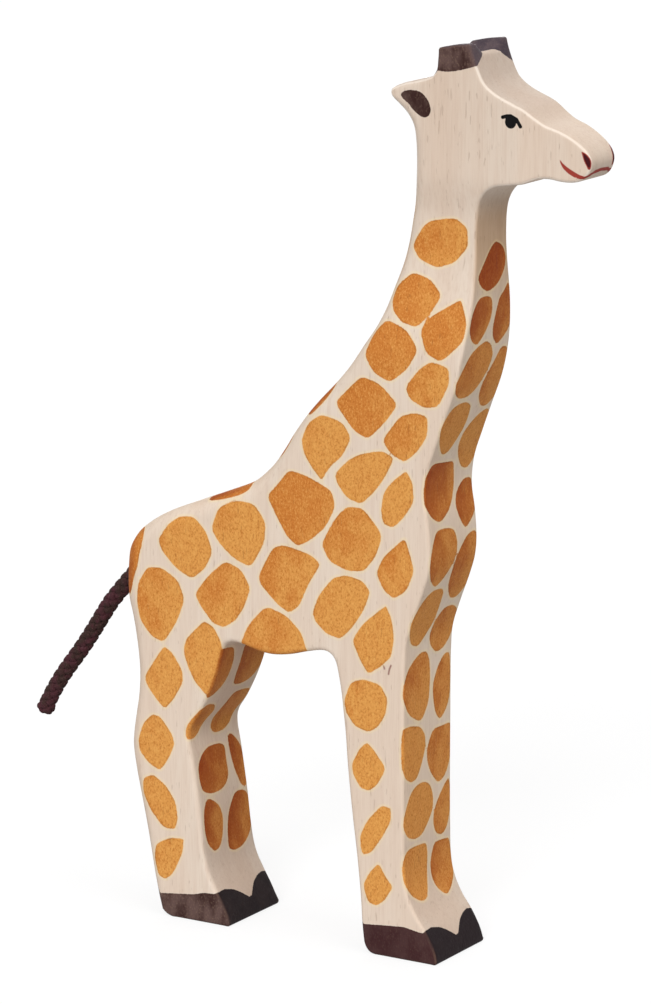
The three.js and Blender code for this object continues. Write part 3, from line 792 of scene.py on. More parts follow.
# The nostril over the edge of the nose: (distance from the middle plane over the face, z)
NOSTRIL = ((-8.1, 234), (-7.4, 233.2), (-6.7, 231.6), (-6.5, 229.8), (-6.6, 227.8), (-7.3, 228.2),
           (-8.4, 229.6), (-8.8, 231.6))
NOSTRIL_CORNER_SHARE = 0.8
MOUTH_CORNER_SHARE = 0.7
EAR_CORNER_SHARE = 0.9
FAR_NOSTRIL_SHIFT = 1.4
HORN_PAINT_BASE = ((20, 252.3), (28, 252.2), (31, 252.1), (33.7, 252.4), (36.5, 253.1),
                   (39.2, 253.9), (50, 257))
# The paint's edge on the forehead before the valley is carved: (y, z), with nothing painted
# between its two sides
FOREHEAD_PAINT_EDGE = ((-10.2, 253.9), (-5.6, 256.4), (-5, 257.1), (-4.5, 258.1), (-4, 260),
                       (-3.9, 262), (2.9, 262), (3, 260), (4, 257.4), (5, 256.1), (10.2, 253.1))
HORN_BACK_PAINT_HEIGHT = 250.6
# Two small dark pin knots on the front leg
KNOT_LINES = (((13.7, 84.8), (14, 84)), ((16.1, 85.2), (15.6, 84), (15.3, 82.6)))
KNOT_HALF_WIDTH = 0.12
HIND_HOOF_TOP = ((-62, 6.5), (-50, 8), (-46.5, 9), (-38, 9.6))
FRONT_HOOF_TOP = ((7.8, 8.6), (14.9, 9.3), (20.5, 9.8), (25.8, 9), (32, 9))
# Top edge of the hoof paint over a sawn face: (share of the half thickness, z)
HOOF_SCALLOP = ((-1, 9.6), (-0.7, 9.8), (-0.42, 8.9), (-0.23, 7.6), (-0.05, 5.9), (0.05, 5),
                (0.18, 6.5), (0.36, 8.4), (0.6, 9.6), (0.8, 10), (1, 9.4))
# Where the paint of the horns and lips is looked for, and the x that parts the two hooves
HORN_SPAN = (24, 48)
HORN_PAINT_LOWEST = 245
LIPS_BACK = 66
LIPS_HIGHEST = 231
BETWEEN_THE_HOOVES = -20
# How far each paint of the flank reaches past the crest of the rounded edge
STAIN_PAST_CREST = 0.5
EAR_PAST_CREST = 1
MOUTH_PAST_CREST = 0.2
INK_PAST_CREST = -0.5
# Where, past the crest, the hoof's top edge and the colour turn into those of the sawn face
HOOF_CREST_SPAN = (-0.8, 0.6)
COLOUR_CREST_SPAN = (-0.8, 0.8)
# The distance given where no painted shape is near, and how far round a shape counts as near
FAR_AWAY = 30
PAINT_MARGIN = 4
ROUNDED_CORNER_STEPS = 7


def rounded_polygon(corners, share):
    """A closed outline through the middles of the polygon's edges, bent towards its corners."""
    points = np.array([corner[:2] for corner in corners], float)
    shares = [corner[2] if len(corner) > 2 else share for corner in corners]
    outline = []
    for index, corner in enumerate(points):
        before = points[index - 1]
        after = points[(index + 1) % len(points)]
        start = mix(corner, before, shares[index] / 2)
        end = mix(corner, after, shares[index] / 2)
        for t in np.linspace(0, 1, ROUNDED_CORNER_STEPS):
            outline.append(mix(mix(start, corner, t), mix(corner, end, t), t))
    return np.array(outline)


def segment_distances(points, starts, ends):
    """Each point's distance to the nearest of the segments."""
    best = np.full(len(points), np.inf)
    for start, end in zip(starts, ends):
        run = end - start
        share = np.clip(((points - start) @ run) / max(run @ run, TINY), 0, 1)
        away = points - start - share[:, None] * run
        best = np.minimum(best, (away ** 2).sum(1))
    return np.sqrt(best)


def signed_distance(points, polygon):
    """Distance to a polygon's edge, negative inside it, and FAR_AWAY beyond the margin."""
    low = polygon.min(0) - PAINT_MARGIN
    high = polygon.max(0) + PAINT_MARGIN
    near = np.all((points > low) & (points < high), axis=1)
    distance = np.full(len(points), float(FAR_AWAY))
    if near.any():
        away = segment_distances(points[near], polygon, np.roll(polygon, -1, 0))
        distance[near] = np.where(inside_polygon(points[near], polygon), -away, away)
    return distance


def outline_places(points):
    """Where each point lies by the outline: length along it, inset and nearest sample."""
    tree = point_finder(OUTLINE)
    nearest = np.array([tree.find((x, z, 0))[1] for x, z in points])
    count = len(OUTLINE)
    reach = np.zeros(len(points))
    inset = np.full(len(points), np.inf)
    for side in (-1, 0):
        first = (nearest + side) % count
        start = OUTLINE[first]
        run = OUTLINE[(first + 1) % count] - start
        share = np.clip(((points - start) * run).sum(1) / (run ** 2).sum(1), 0, 1)
        away = np.linalg.norm(points - start - share[:, None] * run, axis=1)
        closer = away < inset
        inset = np.where(closer, away, inset)
        reach = np.where(closer, REACH[first] + share * STEP_LENGTHS[first], reach)
    return reach, inset, nearest


def unrolled(points, y, inset, nearest):
    """How far each point lies from the middle plane, measured over the sawn face, round the edge
    and onto the flank, how far past the edge's crest, and half of the board's thickness there."""
    half = half_thickness(points[:, 0], points[:, 1])
    rounding = ROUNDINGS[nearest]
    flat = half - rounding
    angle = np.arctan2(np.maximum(np.abs(y) - flat, 0), np.maximum(rounding - inset, TINY))
    over = np.where(np.abs(y) <= flat, np.abs(y), flat + rounding * angle)
    onto = flat + rounding * math.pi / 2 + inset - rounding
    across = np.where((inset >= rounding) & (np.abs(y) > flat), onto, over)
    crest = flat + rounding * math.pi / 4
    return np.sign(y) * across, crest - across, half


# Limits of the rising or falling parts of the outline that carry patches and paint
NECK_FRONT_LIMIT = 42
SHIN_TOP = 84
SHIN_FRONT_LIMIT = -37
NOSE_TOP = 240
NOSE_BACK_LIMIT = 70


def stretch_reach(stretch, turn_height, low_x=-math.inf, high_x=math.inf):
    """Heights from low to high, lengths along the outline and x of one part of a stretch."""
    chosen = (STRETCH_OF == stretch) & (OUTLINE[:, 1] <= turn_height)
    chosen &= (OUTLINE[:, 0] > low_x) & (OUTLINE[:, 0] < high_x)
    places = np.flatnonzero(chosen)
    places = places[np.argsort(OUTLINE[places, 1])]
    return OUTLINE[places, 1], REACH[places], OUTLINE[places, 0]


def unrolled_polygon(corners, heights, reaches, xs):
    placed = []
    for share, z in corners:
        half = half_thickness(np.interp(z, heights, xs), z)
        placed.append((share * half, np.interp(z, heights, reaches)))
    return placed


# How the unseen far flank's patches differ from the near one's: turned by some degrees and smaller,
# each about its own middle
FAR_TURNS = (-4, 3, 5, -3, 2)
FAR_SCALE = 0.93


def far_flank_patches():
    """The far flank's patches: those of the near one, each a little smaller and turned."""
    turned = []
    for index, corners in enumerate(NEAR_FLANK_PATCHES):
        middle = np.mean([corner[:2] for corner in corners], axis=0)
        angle = math.radians(FAR_TURNS[index % len(FAR_TURNS)])
        turn = FAR_SCALE * np.array([
            [math.cos(angle), math.sin(angle)],
            [-math.sin(angle), math.cos(angle)],
        ])
        turned.append([
            (*(middle + (np.array([x, z]) - middle) @ turn), *rest) for x, z, *rest in corners
        ])
    return turned


# Patches over the back's rounded edges that the photograph shows: a place (x, z) on the outline,
# and corners (share of the half thickness, length along the outline from that place)
BACK_PATCHES = (
    ((-6.5, 158), ((-0.97, -6.5), (-1.08, 0), (-1.02, 8), (-0.55, 9), (-0.2, 5), (-0.14, -3),
                   (-0.55, -8))),
    ((-17, 142), ((-0.95, -5), (-0.98, 4), (-0.55, 7.5), (-0.2, 4), (-0.14, -3), (-0.6, -7))),
    ((-36.5, 128.5), ((-1, -6.5), (-1.08, -2), (-1.03, 5), (-0.93, 11), (-0.5, 10), (-0.1, 6),
                      (-0.08, -2), (-0.5, -8))),
    ((-73.9, 105), ((-0.9, -12.8), (-1.12, -11.2), (-1.25, -8), (-1.31, -3), (-1.3, 1.5),
                    (-1.21, 5.5), (-1.12, 10), (-0.98, 12.8), (-0.4, 9), (-0.2, 2), (-0.4, -7),
                    (-0.65, -11.4))),
)

# Rows of patches on the unseen sawn faces. Each column is (share of the half thickness, share of
# the pitch by which it starts later). The gaps are left free at the two ends of a row.
HIDDEN_SEED = 7
HIDDEN_PITCH = 14.5
HIDDEN_COLUMNS = ((-0.43, 0), (0.5, 0.5))
BACK_GAPS = (46, 14)
BELLY_GAPS = (2, 16)
BELLY_BACK_LIMIT = -30
HIDDEN_CLEARANCE = 13.5
HIDDEN_LENGTH = 6.4
HIDDEN_WIDTH_SHARE = 0.36
# How much the hidden patches vary in place, size, lean and the bulge of their corners
HIDDEN_WANDER = (-1, 1)
HIDDEN_SIZES = (0.92, 1.08)
HIDDEN_LEANS = (-0.25, 0.25)
HIDDEN_BULGES = (0.95, 1.15)
HIDDEN_CORNERS = 8
# Outward direction (x, z) of the sawn faces that face the camera
TOWARDS_CAMERA = (0.51, 0.22)
HIDDEN_TURN = -0.08


def place_on_outline(x, z):
    return REACH[np.argmin(np.linalg.norm(OUTLINE - np.array([x, z]), axis=1))]


def back_patches():
    patches = []
    for place, corners in BACK_PATCHES:
        middle = place_on_outline(*place)
        half = half_thickness(*np.array(place, float))
        patches.append([(share * half, middle + along) for share, along in corners])
    return patches


def hidden_patches():
    """Rows of patches over the nape, the back, the rear of the legs and the belly."""
    random = np.random.default_rng(HIDDEN_SEED)
    rows = []
    back = REACH[STRETCH_OF == BACK_AND_HIND_LEG]
    belly = REACH[(STRETCH_OF == HIND_SHIN) & (OUTLINE[:, 0] > BELLY_BACK_LIMIT)]
    for reaches, (first_gap, last_gap) in ((back, BACK_GAPS), (belly, BELLY_GAPS)):
        for column, offset in HIDDEN_COLUMNS:
            first = reaches.min() + first_gap + offset * HIDDEN_PITCH
            rows += [(reach, column) for reach in np.arange(first, reaches.max() - last_gap,
                                                           HIDDEN_PITCH)]
    taken = [place_on_outline(*place) for place, _ in BACK_PATCHES]
    patches = []
    for reach, column in rows:
        patch = hidden_patch(random, reach, column)
        outward = -INWARD[np.searchsorted(REACH, reach) % len(OUTLINE)]
        clear = min(abs(reach - middle) for middle in taken) > HIDDEN_CLEARANCE
        if (clear or column > 0) and outward @ TOWARDS_CAMERA < HIDDEN_TURN:
            patches.append(patch)
    return patches


def hidden_patch(random, reach, column):
    index = np.searchsorted(REACH, reach) % len(OUTLINE)
    half = half_thickness(*OUTLINE[index])
    centre = np.array([column * half, reach + random.uniform(*HIDDEN_WANDER)])
    size = np.array([HIDDEN_WIDTH_SHARE * half, HIDDEN_LENGTH]) * random.uniform(*HIDDEN_SIZES, 2)
    size += SAWN_PATCH_INSET
    lean = random.uniform(*HIDDEN_LEANS)
    corners = []
    for step in range(HIDDEN_CORNERS):
        angle = step / HIDDEN_CORNERS * 2 * math.pi
        radius = random.uniform(*HIDDEN_BULGES)
        dx = math.cos(angle) * radius * size[0]
        dy = math.sin(angle) * radius * size[1]
        corners.append((centre[0] + dx + dy * lean, centre[1] + dy))
    return corners


def sawn_patches():
    """Corners of each patch on the sawn faces, with how deep the stain took in it."""
    neck = stretch_reach(CHEST_AND_NECK, THROAT_HEIGHT_SHARE * FIGURE_HEIGHT,
                         high_x=NECK_FRONT_LIMIT)
    shin = stretch_reach(HIND_SHIN, SHIN_TOP, high_x=SHIN_FRONT_LIMIT)
    patches = [unrolled_polygon(corners, *neck) for corners in NECK_AND_LEG_PATCHES]
    patches += [unrolled_polygon(corners, *shin) for corners in HIND_SHIN_PATCHES]
    depths = NECK_AND_LEG_TONES + HIND_SHIN_TONES
    plain_patches = back_patches() + hidden_patches()
    return zip(patches + plain_patches, depths + (DEEP,) * len(plain_patches))


# How much the stain's depth changes across a patch
TONE_LEAN = 0.25


def patch_fields(flank_points, y, unrolled_points, past_crest):
    """Signed distance to the stained patches, and how deep the stain is at each point."""
    edge = np.full(len(y), float(FAR_AWAY))
    tone = np.full(len(y), EVEN)

    def take(distance, points, polygon, depth):
        nonlocal edge, tone
        centre = polygon.mean(0)
        size = np.abs(polygon - centre).max(0)
        lean = (points - centre) / size
        shade = depth - TONE_LEAN * lean[:, 0] + TONE_LEAN / 2 * lean[:, 1]
        closer = distance < edge
        edge = np.where(closer, distance, edge)
        tone = np.where(closer, shade, tone)

    for side, patches in ((-1, NEAR_FLANK_PATCHES), (1, far_flank_patches())):
        beyond = np.where(np.sign(y) == side, past_crest - STAIN_PAST_CREST, FAR_AWAY)
        for corners, depth in zip(patches, FLANK_TONES):
            polygon = rounded_polygon(corners, FLANK_CORNER_SHARE)
            distance = signed_distance(flank_points, polygon) + FLANK_PATCH_INSET
            distance = np.maximum(distance, beyond)
            take(distance, flank_points, polygon, depth)
    for corners, depth in sawn_patches():
        polygon = rounded_polygon(corners, SAWN_CORNER_SHARE)
        distance = signed_distance(unrolled_points, polygon) + SAWN_PATCH_INSET
        take(distance, unrolled_points, polygon, depth)
    return edge, tone


def line_height(line, x):
    return np.interp(x, *np.array(line).T)


def line_distance(points, line):
    line = np.array(line)
    return segment_distances(points, line[:-1], line[1:])


def dark_field(flank_points, y, half, past_crest, stretch):
    """Signed distance to the dark paint of hooves, horns and ears."""
    x, z = flank_points[:, 0], flank_points[:, 1]
    on_face = smoothstep(past_crest, *HOOF_CREST_SPAN)
    scallop = line_height(HOOF_SCALLOP, y / half)
    side_top = np.where(x < BETWEEN_THE_HOOVES, line_height(HIND_HOOF_TOP, x),
                        line_height(FRONT_HOOF_TOP, x))
    hoof = z - mix(side_top, scallop, on_face)
    horn_flank = line_height(HORN_PAINT_BASE, x) - z
    forehead = line_height(FOREHEAD_PAINT_EDGE, y) - z
    horn_face = np.where(stretch == CHEST_AND_NECK, forehead, HORN_BACK_PAINT_HEIGHT - z)
    horn = np.where(past_crest > 0, horn_face, horn_flank)
    at_horns = (z > HORN_PAINT_LOWEST) & (x > HORN_SPAN[0]) & (x < HORN_SPAN[1])
    horn = np.where(at_horns, horn, FAR_AWAY)
    ear = signed_distance(flank_points, rounded_polygon(EAR_PAINT, EAR_CORNER_SHARE))
    ear = np.where(past_crest < EAR_PAST_CREST, ear, FAR_AWAY)
    return np.minimum(np.minimum(hoof, horn), ear)


def ink_field(flank_points, past_crest):
    """Signed distance to the black eyes and lashes, on both flanks."""
    eye = np.linalg.norm(flank_points - np.array(EYE_CENTRE), axis=1) - EYE_RADIUS
    lash = line_distance(flank_points, LASH_LINE) - LASH_HALF_WIDTH
    return np.where(past_crest < INK_PAST_CREST, np.minimum(eye, lash), FAR_AWAY)


def red_field(flank_points, unrolled_points, half, past_crest, stretch):
    """Signed distance to the red mouth and nostrils."""
    x, z = flank_points[:, 0], flank_points[:, 1]
    mouth = signed_distance(flank_points, rounded_polygon(MOUTH_PAINT, MOUTH_CORNER_SHARE))
    mouth = np.where(past_crest < MOUTH_PAST_CREST, mouth, FAR_AWAY)
    share = np.clip(np.abs(unrolled_points[:, 0]) / half, 0, 1)
    lips = np.abs(z - mix(LIP_LINE_MIDDLE, LIP_LINE_ENDS, share ** 2)) - LIP_HALF_WIDTH
    on_face = (stretch == CHEST_AND_NECK) & (past_crest >= MOUTH_PAST_CREST)
    lips = np.where(on_face & (x > LIPS_BACK) & (z < LIPS_HIGHEST), lips, FAR_AWAY)
    heights, reaches, _ = stretch_reach(CHEST_AND_NECK, NOSE_TOP, low_x=NOSE_BACK_LIMIT)
    corners = [(across, np.interp(z, heights, reaches)) for across, z in NOSTRIL]
    polygon = rounded_polygon(corners, NOSTRIL_CORNER_SHARE)
    across = unrolled_points[:, 0]
    across = np.where(across > 0, -across - FAR_NOSTRIL_SHIFT, across)
    mirrored = np.column_stack([across, unrolled_points[:, 1]])
    nostril = signed_distance(mirrored, polygon)
    return np.minimum(np.maximum(np.minimum(mouth, lips), -MOUTH_DEPTH), nostril)


def knot_field(flank_points, past_crest):
    """Signed distance to the pin knots in the near side of the front leg."""
    away = np.min([line_distance(flank_points, line) for line in KNOT_LINES], axis=0)
    return np.where(past_crest < INK_PAST_CREST, away - KNOT_HALF_WIDTH, FAR_AWAY)


def vertex_places(mesh):
    """The mesh's points in millimetres."""
    flat = np.zeros(len(mesh.vertices) * 3)
    mesh.vertices.foreach_get("co", flat)
    return flat.reshape(-1, 3) / MM


def paint_fields(mesh):
    """Gives the figure's mesh its signed distances to patches and paint, in millimetres."""
    places = vertex_places(mesh)
    flank_points = places[:, [0, 2]]
    y = places[:, 1]
    reach, inset, nearest = outline_places(flank_points)
    across, past_crest, half = unrolled(flank_points, y, inset, nearest)
    unrolled_points = np.column_stack([across, reach])
    stretch = STRETCH_OF[nearest]
    edge, tone = patch_fields(flank_points, y, unrolled_points, past_crest)
    set_field(mesh, "patch_edge", edge)
    set_field(mesh, "patch_tone", tone)
    set_field(mesh, "dark_edge", dark_field(flank_points, y, half, past_crest, stretch))
    set_field(mesh, "ink_edge", ink_field(flank_points, past_crest))
    set_field(mesh, "red_edge", red_field(flank_points, unrolled_points, half, past_crest, stretch))
    knots = np.where(y < 0, knot_field(flank_points, past_crest), FAR_AWAY)
    set_field(mesh, "knot_edge", knots)
    set_field(mesh, "sawn_face", smoothstep(past_crest, *COLOUR_CREST_SPAN))


def carve_valley(mesh):
    """Lowers the top of the head between the horns."""
    places = vertex_places(mesh)
    back = in_plane(HORN_TOP_SHARES[-1])
    front = in_plane(HORN_TOP_SHARES[0])
    slope = (front[1] - back[1]) / (front[0] - back[0])
    top = back[1] + slope * (places[:, 0] - back[0])
    across = np.abs(places[:, 1])
    wall = (VALLEY_MOUTH_WIDTH - VALLEY_FLOOR_WIDTH) / 2
    depth = VALLEY_DEPTH * np.clip((VALLEY_MOUTH_WIDTH / 2 - across) / wall, 0, 1)
    risen = np.maximum(places[:, 2] - top + VALLEY_REACH, 0)
    places[:, 2] -= risen * depth / VALLEY_REACH
    mesh.vertices.foreach_set("co", (places * MM).ravel())
    mesh.update()


def drill_hole(figure):
    """Cuts the blind hole that holds the tail."""
    vertices = []
    faces = []
    upward = np.cross(SIDEWAYS, TAIL_START)
    radius = CORD_DIAMETER / 2 + HOLE_CLEARANCE
    ends = [TAIL_LINE[0] + TAIL_START * distance for distance in (-HOLE_DEPTH, HOLE_OVERRUN)]
    add_tube(vertices, faces, [circle(end, upward, radius, HOLE_SIDES) for end in ends])
    cutter = new_mesh_object("hole_cutter", vertices, faces)
    cut = figure.modifiers.new("tail_hole", "BOOLEAN")
    cut.operation = "DIFFERENCE"
    cut.solver = "EXACT"
    cut.object = cutter
    bpy.context.view_layer.update()
    shaped = bpy.data.meshes.new_from_object(
        figure.evaluated_get(bpy.context.evaluated_depsgraph_get()))
    figure.modifiers.clear()
    figure.data = shaped
    bpy.data.objects.remove(cutter)


def make_figure():
    figure = board_object()
    drill_hole(figure)
    paint_fields(figure.data)
    carve_valley(figure.data)
    mesh = figure.data
    mesh.polygons.foreach_set("use_smooth", [True] * len(mesh.polygons))
    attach(figure, "figure")
    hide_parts("wooden_figure")
    return figure


figure = make_figure()


# Materials

# Noises: waves per metre, the share of them along the grain, detail and roughness
FIBRES = (2600, 0.04, 3, 0.5)
STREAKS = (700, 0.04, 3, 0.5)
BANDS = (60, 0.12, 3, 0.5)
PORES = (1700, 0.14, 1, 0.5)
SPECKLES = (2100, 0.7, 3, 0.7)
BLOTCHES = (240, 0.6, 3, 0.5)
YARN = (2600, 1, 3, 0.65)
FADED = (300, 1, 2, 0.5)
CLOUDS = (500, 1, 2, 0.5)

# Distances from the edge of each kind of paint, in millimetres, between which its colour comes in
STAIN_EDGE = (0.14, -0.14)
STAIN_RIM = (-0.7, -0.1)
STAIN_HALO = (0.15, 1)
DARK_EDGE = (0.08, -0.08)
RED_EDGE = (0.12, -0.08)
LIP_MIDDLE = (-0.4, -0.15)
INK_EDGE = (0.06, -0.06)
KNOT_EDGE = (0.35, -0.1)
# How many millimetres the speckles make an edge wander
STAIN_WANDER = 0.55
DARK_WANDER = 0.35

# Heights in metres between which a tint comes in
DOWN_TO_FEET = (0.04, 0.02)
DOWN_TO_BELLY = (0.2, 0.1)
DOWN_FROM_JAW = (0.215, 0.2)
DOWN_TO_THROAT = (0.222, 0.21)
DOWN_TO_EAR = (0.249, 0.247)
UP_TO_HEAD = (0.16, 0.24)
UP_TO_THROAT = (0.18, 0.205)
UP_TO_EAR = (0.2, 0.22)
UP_FROM_JAW = (0.215, 0.225)
UP_TO_CROWN = (0.236, 0.248)
UP_TO_HORNS = (0.24, 0.25)
# Places along the figure between which a tint comes in
FORWARD_TO_FRONT_LEG = (-0.02, 0)
BACK_TO_RUMP = (-0.0685, -0.0715)


def colour(code):
    """A linear colour from its six-digit code."""
    channels = [int(code[place:place + 2], 16) / 255 for place in (1, 3, 5)]
    return (*(c / 12.92 if c <= 0.04045 else ((c + 0.055) / 1.055) ** 2.4 for c in channels), 1)


class Graph:
    """The nodes of a material or of the world, made and joined by name."""

    def __init__(self, owner):
        self.owner = owner
        owner.use_nodes = True
        self.tree = owner.node_tree
        self.tree.nodes.clear()

    def feed(self, socket, value):
        if isinstance(value, bpy.types.NodeSocket):
            self.tree.links.new(value, socket)
        else:
            socket.default_value = value

    def node(self, kind, settings=None, **inputs):
        made = self.tree.nodes.new(kind)
        for key, value in (settings or {}).items():
            setattr(made, key, value)
        for key, value in inputs.items():
            self.feed(made.inputs[key.replace("_", " ")], value)
        return made

    def fed(self, kind, *values, **settings):
        """The first output of a new node, whose first inputs take the values in their order."""
        made = self.node(kind, settings)
        for socket, value in zip(made.inputs, values):
            self.feed(socket, value)
        return made.outputs[0]

    def math(self, operation, *values):
        return self.fed("ShaderNodeMath", *values, operation=operation)

    def ramp(self, value, low, high, to_low=0.0, to_high=1.0):
        return self.fed("ShaderNodeMapRange", value, low, high, to_low, to_high,
                        interpolation_type="SMOOTHSTEP")

    def shifted(self, value, noise, amount):
        """The value moved up and down by a noise, which lies about a half."""
        swing = self.math("MULTIPLY", self.math("SUBTRACT", noise, 0.5), amount)
        return self.math("ADD", value, swing)

    def blend(self, share, a, b, way="MIX"):
        made = self.node("ShaderNodeMix", {"data_type": "RGBA", "blend_type": way})
        for place, value in ((0, share), (6, a), (7, b)):
            self.feed(made.inputs[place], value)
        return made.outputs[2]

    def tint(self, base, code, value, low, high, most, mask=None, way="MIX"):
        """The base with a colour over it, more of it as a value goes from low to high."""
        share = self.ramp(value, low, high, 0, most)
        if mask is not None:
            share = self.math("MULTIPLY", mask, share)
        return self.blend(share, base, colour(code), way)

    def noise(self, waves, along, detail, roughness):
        place = self.node("ShaderNodeTexCoord").outputs["Object"]
        place = self.node("ShaderNodeMapping", Vector=place, Scale=(1, 1, along)).outputs[0]
        return self.node("ShaderNodeTexNoise", Vector=place, Scale=waves, Detail=detail,
                         Roughness=roughness).outputs["Fac"]

    def attribute(self, name):
        return self.node("ShaderNodeAttribute", {"attribute_name": name}).outputs["Fac"]

    def finish(self, base, roughness, height, distance, **constants):
        bump = self.node("ShaderNodeBump", Height=height, Distance=distance)
        shader = self.node("ShaderNodeBsdfPrincipled", Base_Color=base, Roughness=roughness,
                           Normal=bump.outputs[0], **constants)
        self.node("ShaderNodeOutputMaterial", Surface=shader.outputs[0])
        return self.owner


class Board(Graph):
    """The board's nodes, with the noises, places and masks that its colours share."""

    def __init__(self, name):
        super().__init__(bpy.data.materials.new(name))
        self.fibres = self.noise(*FIBRES)
        self.streaks = self.noise(*STREAKS)
        self.bands = self.noise(*BANDS)
        self.pores = self.ramp(self.noise(*PORES), 0.68, 0.74)
        self.speckle = self.noise(*SPECKLES)
        self.blotch = self.noise(*BLOTCHES)
        place = self.node("ShaderNodeTexCoord").outputs["Object"]
        place = self.node("ShaderNodeSeparateXYZ", Vector=place).outputs
        self.length = place["X"]
        self.height = place["Z"]
        self.sawn = self.attribute("sawn_face")
        both = self.math("MULTIPLY", self.sawn, self.math("SUBTRACT", 1, self.sawn))
        self.crest = self.ramp(both, 0.08, 0.24)


def bare_wood(g):
    wood = g.blend(g.ramp(g.bands, 0.35, 0.65), colour("#e0d0c0"), colour("#dcc8b6"))
    wood = g.tint(wood, "#d2bba9", g.streaks, 0.45, 0.75, 0.4)
    wood = g.tint(wood, "#c9b09b", g.fibres, 0.4, 0.7, 0.25)
    wood = g.blend(g.math("MULTIPLY", g.pores, 0.25), wood, colour("#a3866f"))
    # The sawn faces a little darker below the jaw, and painted shade at the top of the forehead and
    # towards the feet
    for code, heights, most in (("#f5e9d6", DOWN_FROM_JAW, 0.2), ("#d8d6d8", UP_TO_CROWN, 0.5),
                                ("#cfcbd0", DOWN_TO_FEET, 0.32)):
        wood = g.tint(wood, code, g.height, *heights, most, g.sawn, "MULTIPLY")
    # Painted shadow of the head on the throat's sawn face, just under the chin
    chin_shadow = g.math("MULTIPLY", g.sawn, g.ramp(g.height, *UP_TO_THROAT))
    wood = g.tint(wood, "#e2c8a8", g.height, *DOWN_TO_THROAT, 0.7, chin_shadow, "MULTIPLY")
    # Painted highlight along the crests of the head's rounded edges
    wood = g.tint(wood, "#f3e8dc", g.height, *UP_FROM_JAW, 0.6, g.crest)
    wood = g.tint(wood, "#e4dcd6", g.height, *UP_TO_HEAD, 0.27, way="MULTIPLY")
    return g.tint(wood, "#7c4a44", g.attribute("knot_edge"), *KNOT_EDGE, 0.9)


def stained(g, wood):
    """The wood with its stained patches, the stain darkened by painted shade on the sawn faces and
    the rump's edge.
    """
    edge = g.shifted(g.attribute("patch_edge"), g.speckle, STAIN_WANDER)
    tone = g.attribute("patch_tone")
    warmth = g.shifted(tone, g.blotch, 1.2)
    stain = g.blend(g.ramp(warmth, 0.15, 0.85), colour("#d6954b"), colour("#c67a35"))
    stain = g.tint(stain, "#ae6021", g.speckle, 0.51, 0.66, 0.65)
    stain = g.tint(stain, "#ebb768", g.speckle, 0.49, 0.31, 0.42)
    stain = g.tint(stain, "#9a5a24", g.pores, 0, 1, 0.4)
    stain = g.tint(stain, "#a3621f", g.blotch, 0.45, 0.6, 0.5, g.ramp(edge, *STAIN_RIM))
    # Painted shade: the stain darker on the sawn faces and over the rump's rounded edge, more so in
    # deeper-toned patches
    rear = g.math("MAXIMUM", g.sawn, g.ramp(g.length, *BACK_TO_RUMP, 0, 0.75))
    stain_shade_share = g.math("MULTIPLY", rear, g.ramp(g.shifted(tone, g.blotch, 0.5), 0.4, 1.1, 0.17, 0.8))
    stain = g.blend(stain_shade_share, stain, colour("#b0602a"), "MULTIPLY")
    coat = g.blend(g.ramp(edge, *STAIN_HALO, 0.4, 0), wood, colour("#ecd6a2"))
    return g.blend(g.ramp(edge, *STAIN_EDGE), coat, stain)


def dark_paint(g):
    """The paint of the hooves, horns and ears, with some painted shade and highlight."""
    paint = g.blend(g.ramp(g.blotch, 0.35, 0.65), colour("#5f4944"), colour("#38221f"))
    paint = g.tint(paint, "#7b6456", g.speckle, 0.5, 0.68, 0.45)
    front = g.ramp(g.length, *FORWARD_TO_FRONT_LEG)
    paint = g.tint(paint, "#3a1c1f", g.height, *DOWN_TO_BELLY, 0.72, front)
    # Painted shade: the hoof paint near-black on the sawn faces
    paint = g.tint(paint, "#191215", g.height, *DOWN_TO_FEET, 0.92, g.sawn)
    paint = g.tint(paint, "#4a4856", g.height, *UP_TO_HORNS, 0.45, g.sawn)
    below_horns = g.ramp(g.height, *DOWN_TO_EAR)
    paint = g.tint(paint, "#2c150f", g.height, *UP_TO_EAR, 0.4, below_horns)
    # Lighter paint along the crests of the rounded edges: partly worn paint, partly a painted
    # highlight
    worn_and_highlit = g.math("MULTIPLY", g.crest, g.ramp(g.blotch, 0.4, 0.6, 0.05, 0.4))
    return g.blend(worn_and_highlit, paint, colour("#6f5547"))


def wood_material():
    g = Board("stained_maple")
    coat = stained(g, bare_wood(g))
    dark = g.shifted(g.attribute("dark_edge"), g.speckle, DARK_WANDER)
    painted = g.ramp(dark, *DARK_EDGE)
    coat = g.blend(painted, coat, dark_paint(g))
    red = g.attribute("red_edge")
    lips = g.blend(g.ramp(red, *LIP_MIDDLE), colour("#3f0d14"), colour("#973a31"))
    coat = g.blend(g.ramp(red, *RED_EDGE), coat, lips)
    coat = g.tint(coat, "#030203", g.attribute("ink_edge"), *INK_EDGE, 1)
    relief = g.fibres
    for part, share in ((g.pores, -1.2), (g.speckle, 0.3), (painted, 0.4)):
        relief = g.math("ADD", relief, g.math("MULTIPLY", part, share))
    roughness = g.ramp(g.fibres, 0.3, 0.7, 0.6, 0.74)
    return g.finish(coat, roughness, relief, 0.06 * MM, Specular_IOR_Level=0.12)


def cord_material():
    g = Graph(bpy.data.materials.new("braided_cord"))
    yarn = g.noise(*YARN)
    dye_and_crease_shade = g.blend(g.ramp(g.noise(*FADED), 0.38, 0.62), colour("#35241f"), colour("#46242a"))
    dye_and_crease_shade = g.tint(dye_and_crease_shade, "#644548", yarn, 0.52, 0.7, 0.6)
    # Painted shade in the creases between the strands, away from their crests
    dye_and_crease_shade = g.tint(dye_and_crease_shade, "#342a2c", g.attribute("strand_crest"), 0.75, 0.25, 1, way="MULTIPLY")
    return g.finish(dye_and_crease_shade, 0.9, yarn, 0.15 * MM, Specular_IOR_Level=0.2)


